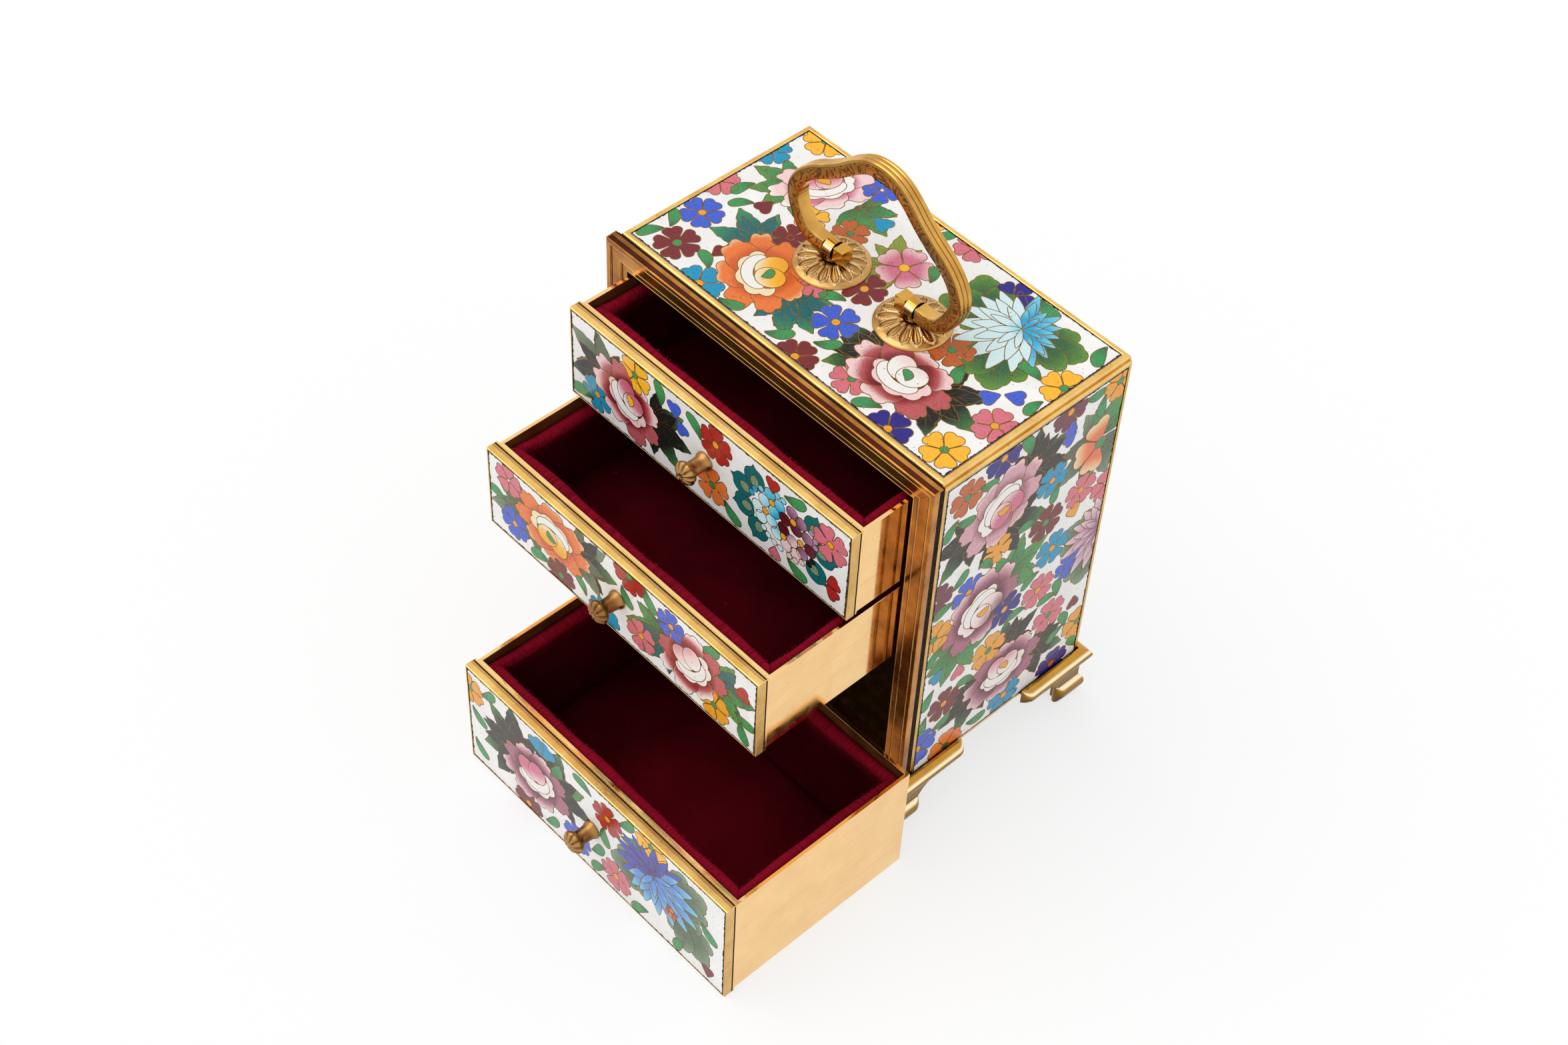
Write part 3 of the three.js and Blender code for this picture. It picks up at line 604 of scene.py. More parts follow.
def bow_section():
    """Points round the bow: across, outward, whether it is a cheek there and how much painted shade it gets.
    """
    wide, thick, reed = 1.8, 1.65, 0.6
    section = [(-wide, -thick + 0.3, 1, 0), (-wide, thick - 0.62, 1, 0), (-wide, thick - 0.6, 0, 0.9),
               (-wide, thick - 0.46, 0, 0.4)]
    for k in (-1, 0, 1):
        for a in np.radians(np.linspace(155, 25, 9)):
            # painted shade, deepest down between the reeds
            valley = np.clip(1 - (math.sin(a) - 0.42) * 5, 0, 1)
            across = k * 2 * reed + reed * math.cos(a)
            section.append((across, thick - 0.34 + 0.54 * math.sin(a), 0, 0.75 * valley))
    section += [(wide, thick - 0.46, 0, 0.4), (wide, thick - 0.6, 0, 0.9), (wide, thick - 0.62, 1, 0),
                (wide, -thick + 0.3, 1, 0), (wide - 0.04, -thick + 0.24, 0, 0.6), (wide - 0.3, -thick, 0, 0),
                (-wide + 0.3, -thick, 0, 0), (-wide + 0.04, -thick + 0.24, 0, 0.6)]
    return section


def handle_bow():
    """The swinging bow: three reeds outside, engraved cheeks, smooth within."""
    line, section, lean = bow_line(), bow_section(), math.radians(3)
    ahead = np.gradient(line, axis=0)
    ahead /= np.linalg.norm(ahead, axis=1, keepdims=True)
    outward = np.stack([-ahead[:, 1], ahead[:, 0]], 1)
    points, cheek, painted_shade_and_highlight = [], [], []
    for at, out in zip(line, outward):
        for across, away, side, groove_shade in section:
            x, up = at + out * away
            y = across * math.cos(lean) + up * math.sin(lean)
            z = up * math.cos(lean) - across * math.sin(lean)
            points.append(BOW_PIVOT + np.array((x, y, z)) * MM)
            cheek.append(side)
            painted_shade_and_highlight.append(groove_shade)
    bow = new_object("handle_bow", points, tube_faces(len(line), len(section)), BAIL, "handle")
    set_values(bow, "cheek", cheek)
    set_values(bow, "painted_shade_and_highlight", painted_shade_and_highlight)
    bow.data.set_sharp_from_angle(angle=math.radians(42))


def handle_pins():
    """The pins of the bail, without the rest of its solid, which the bow stands for."""
    pins = finished_copy("handle_bail", PIN, 0.1, 40)
    work = bmesh.new()
    work.from_mesh(pins.data)
    bow_faces = []
    for face in work.faces:
        middle = (np.array(face.calc_center_median()) - BOW_PIVOT) / MM
        if abs(middle[0]) > BOW_START - 0.02 or middle[2] > 3:
            bow_faces.append(face)
    bmesh.ops.delete(work, geom=bow_faces, context="FACES")
    work.to_mesh(pins.data)
    work.free()


def petal_relief(r, a, petals):
    """Height of a rosette, with its painted shade above zero and painted highlight below zero, at shares of
    its radius and angles round it.
    """
    dome = 0.25 + 0.72 * (1 - r ** 2)
    across = np.abs(a * petals / (2 * math.pi) % 1 - 0.5)
    reach = 0.43 * np.sqrt(np.clip(1 - (np.clip(r - 0.6, 0, None) / 0.27) ** 2, 0, 1))
    away = (across - reach) * 2 * math.pi * r / petals
    within = np.clip((r - 0.3) / 0.12, 0, 1) * np.clip((0.93 - r) / 0.04, 0, 1)
    ridge = np.exp(-(away / 0.02) ** 2) * within
    hollow = (away < -0.02) * within * np.clip(-away / 0.08, 0, 1)
    rib = np.exp(-(across / 0.05) ** 2) * (away < -0.05) * within
    rim = 0.5 * np.clip((r - 0.95) / 0.05, 0, 1) ** 3 * dome
    well = np.clip((0.27 - r) / 0.02, 0, 1)
    shadow = np.exp(-((away + 0.035) / 0.02) ** 2) * within
    between = (away > 0.01) * within * 0.5 * (r < 0.86)
    height = dome + 0.16 * ridge - 0.1 * hollow + 0.05 * rib - rim
    # painted shade in the hollows, the well, between the petals and in the shadow beside each outline;
    # painted highlight on the outlines
    painted_shade_and_highlight = np.clip(hollow * 0.3 + 1.1 * shadow + well + between, 0, 1) - ridge
    return height * (1 - well) + 0.75 * well, painted_shade_and_highlight


def rosette(node):
    """A domed plate of petals, each with a raised outline and a hollow middle."""
    petals, steps, hole = 14, 18, 0.2
    around = petals * steps
    low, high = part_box(node)
    centre, radius = (low + high) / 2, (high.x - low.x) / 2
    share = np.concatenate([np.linspace(hole, 0.95, 44), [0.975, 0.992, 1.0]])
    angle = np.linspace(0, 2 * math.pi, around, endpoint=False)
    r, a = np.meshgrid(share, angle, indexing="ij")
    height, painted_shade_and_highlight = petal_relief(r, a, petals)
    x, y = centre.x + radius * r * np.cos(a), centre.y + radius * r * np.sin(a)
    top = np.stack([x, y, low.z + (high.z - low.z) * height], -1)
    bore, foot = top[0].copy(), top[-1].copy()
    for edge in (bore, foot):
        edge[:, 2] = low.z
    points = np.concatenate([bore[None], top, foot[None]]).reshape(-1, 3)
    faces = grid_faces(len(share) + 2, around, True)
    piece = new_object(f"{node}_petals", points, faces, SATIN, "cabinet")
    # painted shade all round the bore, none at the foot
    set_values(piece, "painted_shade_and_highlight", np.concatenate([np.ones(around), painted_shade_and_highlight.ravel(), np.zeros(around)]))
    piece.data.set_sharp_from_angle(angle=math.radians(50))
    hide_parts(node)


# Outlines of the enamel drawing, one unit long and pointing up

def smooth(points, steps=3):
    """A closed curve through the points."""
    p = np.asarray(points, float)
    before, after, beyond = np.roll(p, 1, 0), np.roll(p, -1, 0), np.roll(p, -2, 0)
    curve = []
    for k in range(steps):
        t = k / steps
        square = (2 * before - 5 * p + 4 * after - beyond) * t ** 2
        cube = (3 * p - before - 3 * after + beyond) * t ** 3
        curve.append(0.5 * (2 * p + (after - before) * t + square + cube))
    return np.stack(curve, 1).reshape(-1, 2)


def mirrored(half):
    """A whole outline from its right half, which starts and ends near the axis."""
    return [*half, *[(-x, y) for x, y in reversed(half) if x > 0]]


def scalloped(width, lobes, depth, phase=0.0):
    """A broad blunt petal with small lobes round its edge; the phase sets where they start."""
    t = np.linspace(-1, 1, lobes * 8 + 1)
    angle = 1.95 * t
    reach = 1 - depth * (1 - np.abs(np.cos(lobes * math.pi * t / 2 + phase)))
    across = np.sign(angle) * np.abs(np.sin(angle)) ** 0.85
    along = np.sign(np.cos(angle)) * np.abs(np.cos(angle)) ** 0.7
    edge = np.stack([width * across * reach, 0.45 + 0.55 * along * reach], 1)
    return np.vstack([[(-0.1, 0.02)], edge, [(0.1, 0.02)]])


def turned(points, x=0.0, y=0.0, turn=0.0, size=1.0, wide=1.0):
    """Points scaled, turned anticlockwise in degrees and moved."""
    a = math.radians(turn)
    p = np.asarray(points, float) * (size * wide, size)
    return p @ np.array([[math.cos(a), math.sin(a)], [-math.sin(a), math.cos(a)]]) + (x, y)


def circle(radius, count=14):
    """Points round a circle."""
    a = np.linspace(0, 2 * math.pi, count, endpoint=False)
    return np.stack([np.cos(a), np.sin(a)], 1) * radius


PETAL = smooth(mirrored([
    (0.06, 0.12), (0.24, 0.36), (0.39, 0.58), (0.44, 0.76),
    (0.37, 0.9), (0.23, 0.965), (0.1, 0.95), (0, 0.9)]))
LOBE = mirrored([
    (0.235, 0.37), (0.365, 0.58), (0.43, 0.75), (0.37, 0.89), (0.23, 0.97), (0.1, 0.955), (0, 0.9)])
BLOOM = smooth(np.vstack([
    [*turned(LOBE, turn=72 * k), *turned([(0, 0.33)], turn=72 * k + 36)] for k in range(5)]))
COMMA = smooth([
    (0, 0), (0.17, 0.24), (0.25, 0.55), (0.17, 0.86), (0, 1), (-0.15, 0.86), (-0.12, 0.5), (-0.05, 0.2)])
LANCE = smooth(mirrored([(0.03, 0.02), (0.13, 0.3), (0.16, 0.58), (0.09, 0.85), (0, 1)]))
BLADE = smooth(mirrored([
    (0.04, 0), (0.15, 0.2), (0.215, 0.42), (0.2, 0.6), (0.145, 0.71), (0.145, 0.77), (0.06, 0.9), (0, 1)]))
VEINS = ([(0, 0.05), (0.012, 0.45), (0, 0.88)],
         [(0, 0.22), (0.07, 0.36), (0.12, 0.47)], [(0, 0.22), (-0.07, 0.36), (-0.12, 0.47)],
         [(0, 0.46), (0.05, 0.57), (0.085, 0.66)], [(0, 0.46), (-0.05, 0.57), (-0.085, 0.66)])
HEART_LEAF = smooth(mirrored([
    (0.16, -0.46), (0.4, -0.3), (0.47, 0.0), (0.36, 0.28), (0.13, 0.4), (0.04, 0.5), (0, 0.56)]))
BROAD = scalloped(0.46, 5, 0.12)
NOTCHED = scalloped(0.46, 4, 0.14, math.pi / 2)
NARROW = scalloped(0.42, 3, 0.11)

# Turn, length and breadth of a peony's outer petals
PEONY_PETALS = ((2, 0.86, 0.78), (46, 0.92, 0.7), (-40, 0.9, 0.74), (90, 0.98, 0.66), (-86, 0.95, 0.72),
                (134, 1, 0.76), (-132, 1.02, 0.7), (178, 0.94, 0.84))

# Runs of colour, from the root of a petal or leaf to its tip
PETAL_PINK = ("rose", "rose", "rose", "rose", "blush", "blush", "white")
PETAL_WINE = ("wine", "wine", "garnet", "garnet", "brick", "blush", "white")
PETAL_DEEP = ("wine", "wine", "wine", "garnet", "brick", "blush", "blush")
PETAL_MAUVE = ("heather", "heather", "heather", "heather", "dusk", "dusk", "blush")
PETAL_DUSKY = ("wine", "wine", "plum", "plum", "heather", "dusk", "blush")
PETAL_PLUM = ("wine", "wine", "wine", "plum", "heather", "dusk", "blush")
PETAL_ORANGE = ("ember", "ember", "ember", "ember", "orange", "orange", "apricot")
LEAF_DARK = ("night", "night", "night", "night", "pine")
LEAF_TIPPED = ("night", "night", "night", "pine", "moss")
LEAF_GREEN = ("pine", "leaf", "moss")
LEAF_TEAL = ("teal", "teal", "leaf")
LEAF_GREY = ("grey", "grey", "sage")
LEAF_OAK = ("pine", "pine", "moss")
LEAF_OLIVE = ("moss", "olive", "olive")
WHITES = ("white", "white")
CREAMS = ("cream", "cream")
BLUSHES = ("blush", "blush")
BLUSH_WHITE = ("blush", "white")

# Crescent, buds and kernel in the heart of an orange peony
ORANGE_HEART = (CREAMS, ("amber", "yellow", "cream"), "leaf")


class Drawing:
    """Enamel colours and their wires on one panel, in millimetres from its middle."""

    BASE = 0.006
    STEP = 0.007
    SHADES = 16
    WIRE_LIFT = 0.003
    WIRE_WIDTH = 0.19
    MARGIN = 0.03

    def __init__(self, node, u, v, n):
        low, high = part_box(node)
        span = high - low
        self.node = node
        self.axes = u, v, n
        self.half = np.array([abs(span.dot(u)), abs(span.dot(v))]) / 2 / MM
        self.origin = (low + high) / 2 + n * (abs(span.dot(n)) / 2)
        self.points, self.faces, self.tints = [], [], []
        self.wire_points, self.wire_faces = [], []
        self.taken, self.laid = [], []
        self.serial = 0
        self.random = random.Random(node)

    def inside(self, points):
        """The points, held within the panel."""
        edge = self.half - self.MARGIN
        return np.clip(points, -edge, edge)

    def colours(self, names, share):
        """Colours at shares of the way along a run of named ones."""
        stops = np.array([ENAMEL[n] for n in names])
        at = np.linspace(0, 1, len(names))
        return np.stack([np.interp(share, at, stops[:, k]) for k in range(3)], 1)

    def height(self, level):
        """How high a level lies; fields that may overlap never share one height."""
        return self.BASE + self.STEP * (level + 0.9 * self.serial / self.SHADES)

    def sheet(self, points, faces, tints, level):
        """Adds one field, higher than the fields of its level that it may overlap."""
        self.faces += shifted(faces, len(self.points))
        middle = np.mean(points, axis=0)
        reach = np.linalg.norm(points - middle, axis=1).max()
        near = [serial for at, far, tier, serial in self.laid
                if tier == level and np.linalg.norm(at - middle) < far + reach]
        free = [k for k in range(self.SHADES) if k not in near]
        above = max(near, default=-1) + 1
        self.serial = above if above < self.SHADES else (free or [0])[0]
        self.laid.append((middle, reach, level, self.serial))
        height = self.height(level)
        self.points += [(x, y, height) for x, y in points]
        self.tints += [(*t, 1) for t in tints]

    def lay(self, outline, names, root, tip, level, edge=0.0):
        """One field of enamel, its colour running from root to tip, and out to its edge."""
        outline = self.inside(outline)
        centre = outline.mean(0)
        count = len(outline)
        large = np.ptp(outline, axis=0).max() > 5
        reaches = (1, 0.92, 0.8, 0.62, 0.4, 0.2) if large else (1, 0.88, 0.64, 0.3)
        rings = [centre + (outline - centre) * s for s in reaches]
        points = np.vstack([*rings, centre[None]])
        axis = np.subtract(tip, root)
        outward = np.append(np.repeat(reaches, count), 0) ** 5
        share = np.clip((points - root) @ axis / (axis @ axis) + edge * outward, 0, 1)
        faces = grid_faces(len(rings), count, True)
        last = (len(rings) - 1) * count
        faces += [(last + i, last + (i + 1) % count, last + count) for i in range(count)]
        self.sheet(points, faces, self.colours(names, share), level)
        self.wire(outline, level, True)

    def band(self, inner, outer, names, level):
        """A field between two edges, its colour running from one to the other."""
        rows = 5
        share = np.linspace(0, 1, rows)
        points = self.inside(np.vstack([inner + (outer - inner) * s for s in share]))
        tints = self.colours(names, np.repeat(share, len(inner)))
        self.sheet(points, grid_faces(rows, len(inner)), tints, level)
        self.wire(self.inside(np.vstack([inner, outer[::-1]])), level, True)

    def wire(self, line, level, closed, width=1.0):
        """A flat wire along a line, a little above the field that was laid last."""
        line = np.asarray(line, float)
        if closed:
            ahead = np.roll(line, -1, 0) - np.roll(line, 1, 0)
        else:
            ahead = np.gradient(line, axis=0)
        length = np.maximum(np.linalg.norm(ahead, axis=1, keepdims=True), 1e-6)
        across = np.stack([-ahead[:, 1], ahead[:, 0]], 1) / length * self.WIRE_WIDTH * width / 2
        height = self.height(level) + self.WIRE_LIFT
        start, count = len(self.wire_points), len(line)
        for left, right in zip(line + across, line - across):
            self.wire_points += [(*left, height), (*right, height)]
        for i in range(count if closed else count - 1):
            j = (i + 1) % count
            self.wire_faces.append((start + 2 * i, start + 2 * i + 1, start + 2 * j + 1, start + 2 * j))

    def claim(self, x, y, radius):
        """Keeps scattered flowers away from a place."""
        self.taken.append((x, y, radius))

    def blossom(self, x, y, radius, colour, heart="amber", turn=0, petals=(0, 1, 2, 3, 4)):
        """A small five-petalled flower, or some of its petals; a plain one clear of the rim is one field."""
        clear = np.all(np.abs((x, y)) + radius < self.half)
        names = (colour, colour) if isinstance(colour, str) else colour
        if clear and isinstance(colour, str) and len(petals) == 5:
            self.lay(turned(BLOOM, x, y, turn, radius), names, (x, y), (x + 1, y), 3)
        else:
            for k in petals:
                angle = turn + 72 * k
                tip = turned([(0, radius)], x, y, angle)[0]
                self.lay(turned(PETAL, x, y, angle, radius), names, (x, y), tip, 3)
        if heart:
            self.dot(x, y, 0.19 * radius, heart, 4)
        self.claim(x, y, radius)

    def dot(self, x, y, radius, colour, level, count=14):
        """A round field of one colour."""
        self.lay(turned(circle(radius, count), x, y), (colour, colour), (x, y), (x + 1, y), level)

    def blossoms(self, *rows):
        """Small flowers, a row of values each."""
        for row in rows:
            self.blossom(*row)

    def commas(self, *rows):
        """Little leaves, a row of values each."""
        for row in rows:
            self.comma(*row)

    def comma(self, x, y, length, turn, flip=1):
        """A little leaf, rounded at one end."""
        length *= 1.14
        shape = turned(COMMA - (0, 0.5), x, y, turn, length, 1.2 * flip)
        root, tip = turned([(0, -0.5), (0, 0.5)], x, y, turn, length)
        self.lay(shape, ("pine", "leaf", "leaf"), root, tip, 3)
        self.claim(x, y, length * 0.45)

    def leaf(self, x, y, length, turn, names, level=0):
        """A leaf of three broad pointed blades with their veins, from its stalk end."""
        tip = turned([(0, length)], x, y, turn)[0]
        for angle, start, size in ((46, 0.08, 0.74), (-46, 0.08, 0.74), (0, 0.0, 1.0)):
            at = turned([(0, start * length)], x, y, turn)[0]
            self.lay(turned(BLADE, *at, turn + angle, size * length), names, (x, y), tip, level)
            for vein in VEINS:
                self.wire(self.inside(turned(vein, *at, turn + angle, size * length)), level, False, 0.4)

    def leaves(self, x, y, names, *blades):
        """Leaves from one point: each blade is its turn and length."""
        for k, (turn, length) in enumerate(blades):
            self.leaf(x, y, 1.15 * length, turn, names[k % len(names)], k % 3)
            tip = turned([(0, length * 0.7)], x, y, turn)[0]
            self.claim(*tip, length * 0.3)

    def oak(self, x, y, size, turn, names):
        """A broad leaf of five rounded lobes, as a chrysanthemum's."""
        for k, (angle, length) in enumerate(((-78, 0.62), (78, 0.62), (-38, 0.85), (38, 0.85), (0, 1.0))):
            shape = turned(NARROW, x, y, turn + angle, size * length, 0.8)
            tip = turned([(0, size * length)], x, y, turn + angle)[0]
            self.lay(shape, names, (x, y), tip, k % 3, 0.2)
            end = tip * 0.85 + np.array((x, y)) * 0.15
            self.wire(self.inside(np.linspace((x, y), end, 6)), k % 3, False, 0.6)
        centre = turned([(0, size * 0.5)], x, y, turn)[0]
        self.claim(*centre, size * 0.5)

    def peony(self, x, y, wide, high, turn, names, crescent=WHITES, buds=("rose", "rose", "blush"),
              kernel="amber"):
        """A full-blown peony: outer petals, two crescents that make a cup, and two buds in it."""
        def put(points, angle=0.0, size=1.0, broad=1.0):
            local = turned(points, 0, 0, angle, size, broad) * (wide / 2, high / 2)
            return turned(local, x, y, turn)

        for k, (angle, size, broad) in enumerate(PEONY_PETALS):
            shades = (*names[:5], names[4], names[4]) if k in (1, 4, 6) else names
            root = put([(0, 0.12)], angle, size)[0]
            tip = put([(0, 1)], angle, size)[0]
            shape = put(NOTCHED if k % 2 else BROAD, angle, size, broad)
            self.lay(shape, shades, root, tip, 3 + k % 3, 0.12)
        t = np.linspace(-1, 1, 41)
        wave = 1 - 0.3 * (1 - np.abs(np.cos(2.5 * math.pi * t)))
        taper = np.clip(1 - t ** 2, 0, 1) ** 0.4
        middle = (0, 0.08)
        for base, depth, spread, skew, edge, colours, level in (
                (0.38, 0.26, 100, 10, wave, crescent, 7), (0.28, 0.24, 86, -8, 1, WHITES, 8)):
            a = np.radians(180 + skew + spread * t)
            ring = np.stack([-np.sin(a), np.cos(a)], 1)
            outer_edge = ring * (base + depth * taper * edge)[:, None] + middle
            self.band(put(ring * base + middle), put(outer_edge), colours, level)
        shapes = ((-0.13, 0.16, (0.24, 0.34), 14), (0.12, 0.12, (0.24, 0.31), -16))
        for level, (across, up, size, lean) in enumerate(shapes, 9):
            bud = turned(circle(1, 20) * size, across, up, lean)
            self.lay(put(bud), buds, put([(across, 0.46)])[0], put([(across, -0.16)])[0], level, 0.2)
        if kernel:
            shape = turned(COMMA - (0, 0.5), 0.03, 0.08, 30, 0.3, 1.6)
            self.lay(put(shape), (kernel, kernel), (x, y), (x + 1, y), 12)
        self.claim(x, y, (wide + high) / 4)

    def mum(self, x, y, radius, turn, near, far, spread=1.0):
        """A chrysanthemum of slender petals; near faces the turn and far the other way."""
        slender = 0.85
        for ring, (count, reach) in enumerate(((17, 1.0), (14, 0.78), (10, 0.52))):
            for k in range(count):
                angle = 360 * (k + 0.5 * (ring % 2)) / count
                facing = 0.5 + 0.5 * math.cos(math.radians(angle))
                length = radius * reach * (1 - 0.28 * facing * spread) * (1 + 0.08 * math.sin(7 * k))
                names = near if facing > 0.5 else far
                shape = turned(LANCE, x, y, turn + angle, length, slender)
                tip = turned([(0, length)], x, y, turn + angle)[0]
                self.lay(shape, names, (x, y), tip, 3 + 2 * ring + k % 2)
        self.claim(x, y, radius)

    def scatter(self):
        """Small flowers and leaves in whatever room is left."""
        colours, radius = ("yellow", "blue", "coral", "maroon", "turquoise", "navy", "rust"), 5.2
        for tries, size in ((400, 1.0), (500, 0.8), (1500, 0.5)):
            for _ in range(tries):
                x = self.random.uniform(-1, 1) * (self.half[0] - 1)
                y = self.random.uniform(-1, 1) * (self.half[1] - 1)
                room = min([math.hypot(x - a, y - b) - r for a, b, r in self.taken] or [99])
                if size > 0.6 and room > radius * size * 0.86:
                    colour = self.random.choice(colours)
                    heart = "leaf" if colour in ("yellow", "coral", "rust") else "amber"
                    self.blossom(x, y, radius * size, colour, heart, self.random.uniform(0, 72))
                elif size <= 0.6 and room > radius * 0.34:
                    self.comma(x, y, radius * 0.95, self.random.uniform(0, 360), self.random.choice((-1, 1)))

    def build(self, body):
        """Makes the fields, the wires and the dark line round the panel into pieces."""
        u, v, n = (np.array(axis) for axis in self.axes)

        def placed(points):
            p = np.array(points)
            return np.array(self.origin) + (p[:, :1] * u + p[:, 1:2] * v + p[:, 2:] * n) * MM

        if np.dot(np.cross(u, v), n) < 0:
            self.faces = flipped(self.faces)
            self.wire_faces = flipped(self.wire_faces)
        fields = flat_piece(f"{self.node}_flowers", placed(self.points), self.faces, GLAZE, body)
        tint = fields.data.color_attributes.new("tint", "FLOAT_COLOR", "POINT")
        tint.data.foreach_set("color", np.array(self.tints, np.float32).ravel())
        flat_piece(f"{self.node}_wires", placed(self.wire_points), self.wire_faces, WIRE, body)
        self.oxide(body, placed)
        frame["nodes"][self.node].data.materials[0] = WHITE

    def oxide(self, body, placed):
        """The dark uneven line where the enamel meets its rim."""
        gap, height, pace = 0.11, 0.092, 0.5
        outer, inner = [], []
        for k in range(4):
            a = np.array(CORNERS[k]) * self.half
            b = np.array(CORNERS[(k + 1) % 4]) * self.half
            steps = int(np.linalg.norm(b - a) / pace)
            for i in range(steps):
                p = a + (b - a) * i / steps
                bite = 0.1 + 0.28 * self.random.random() ** 3
                outer.append((*(p * (self.half + gap) / self.half), height))
                inner.append((*(np.sign(p) * np.minimum(np.abs(p), self.half - bite)), height))
        faces = grid_faces(2, len(outer), True)
        flat_piece(f"{self.node}_oxide", placed(inner + outer), faces, OXIDE_AND_SHADE, body)


# Panels

def paint_top():
    """The top, as photographed."""
    panel = Drawing("top_enamel", X, Y, Z)
    panel.leaves(-22, 17, (LEAF_GREEN,), (-62, 8), (-100, 10), (-128, 9))
    panel.leaves(-36, 12, (LEAF_GREEN,), (106, 10), (146, 9.5), (176, 9), (-138, 9.5))
    panel.leaves(-27, -8, (LEAF_TEAL,), (24, 9.5), (68, 11), (112, 10.5))
    panel.leaves(-11, -14, (LEAF_TEAL,), (-58, 8.5), (-110, 11), (-140, 11))
    panel.leaves(15, -12, (LEAF_DARK, LEAF_TIPPED), (40, 8.5), (86, 11.5), (122, 9), (146, 11))
    panel.leaves(29, -12, (LEAF_DARK, LEAF_TIPPED), (-50, 12), (-93, 13), (-138, 11))
    panel.leaves(-3, 10, (LEAF_OLIVE,), (38, 8.5), (168, 9), (-155, 7.5))
    panel.oak(34, 16, 11, -66, LEAF_OAK)
    panel.oak(30, 8, 12, -145, LEAF_OAK)
    panel.oak(20, 15, 11, 48, LEAF_OAK)
    panel.oak(20, 13, 10, 105, LEAF_OAK)
    panel.peony(-32.3, 16.3, 26.5, 18.5, 60, PETAL_PINK)
    panel.peony(-19.8, -13.4, 26.5, 22.5, -40, PETAL_ORANGE, *ORANGE_HEART)
    panel.peony(22.2, -12.8, 27.5, 21, 0, PETAL_DEEP, BLUSHES, ("blush", "white", "white"), "leaf")
    panel.mum(28.8, 16.4, 15, -40, ("cyan", "cyan", "sky"), ("sky", "ice", "ice"), 1.5)
    panel.blossom(-1, 10.8, 6.6, ("rose", "rose", "blush"), "yellow", 90)
    panel.blossoms(
        (-42.6, 27.0, 5.4, "yellow", "leaf", 36), (-48.3, 15.3, 4.8, "turquoise", None, -90),
        (-22.4, 25.0, 4.5, "blue", None, 0), (-8.6, 27.2, 4.6, "yellow", None, 20),
        (4.4, 26.8, 4.6, "coral", "coral", 0), (46.9, 10.2, 5.4, "yellow", "leaf", 18),
        (-1.9, -0.4, 5.2, "maroon", "amber", 0), (-48.2, -0.6, 4.8, "coral", None, -90),
        (-24.2, -1.3, 4.4, "maroon", "maroon", 30), (-42.9, -10.5, 5.1, "blue", "amber", 8),
        (-9.6, -7.6, 4.0, "coral", None, 30), (1.5, -12.2, 5.4, "blue", "amber", -12),
        (23.5, 0.6, 5.2, "rust", "leaf", 10), (44.9, -8.6, 5.2, "coral", "amber", 18),
        (-39.1, -21.2, 5.4, "maroon", "leaf", -8), (-26.4, -26.2, 5.8, "turquoise", "amber", 0),
        (3.3, -25.8, 5.2, "maroon", "amber", 0), (15.9, -21.4, 4.8, "coral", "leaf", 36),
        (31.0, -25.8, 5.4, "navy", "amber", 0), (42.8, -21.2, 5.3, "yellow", "leaf", 12),
        (-26.0, 6.6, 4.2, "yellow", "amber", 36), (-16.6, 9.6, 4.4, "rust", "leaf", 50),
        (20.6, 22.4, 4.6, "navy", None, 0, (0, 1, 4)), (-17.3, 17.2, 5.4, "turquoise", None, -90, (0,)),
        (-35.4, 4.2, 5.0, "maroon", None, 180, (0,)), (39.6, -0.8, 5.0, "blue", None, -60, (0, 3)),
        (-31.0, -18.6, 4.2, "maroon", None, 0, (0,)))
    panel.commas(
        (-2.9, 25.0, 5.2, -35), (28.6, 25.3, 6.2, -105), (45.6, 23.0, 6, -160), (4.4, 13.9, 4.8, 35),
        (-43.1, 1.9, 5.6, 168), (-39.6, -1.9, 5.2, 140), (-4.5, -7.4, 5.4, 118), (38.8, 8.4, 5.8, 85),
        (29.6, -3.2, 5.6, -158), (46.6, 1.2, 5, 180), (-31.3, -20.1, 5.4, 62), (-46.0, -16.5, 5.4, 40),
        (-45.8, -23.0, 5.8, 152), (-17.3, -25.0, 5.6, -72), (-3.9, -23.4, 5.8, -48), (5.0, -17.9, 5.4, -48),
        (23.2, -24.2, 5.8, 122))
    panel.build("cabinet")


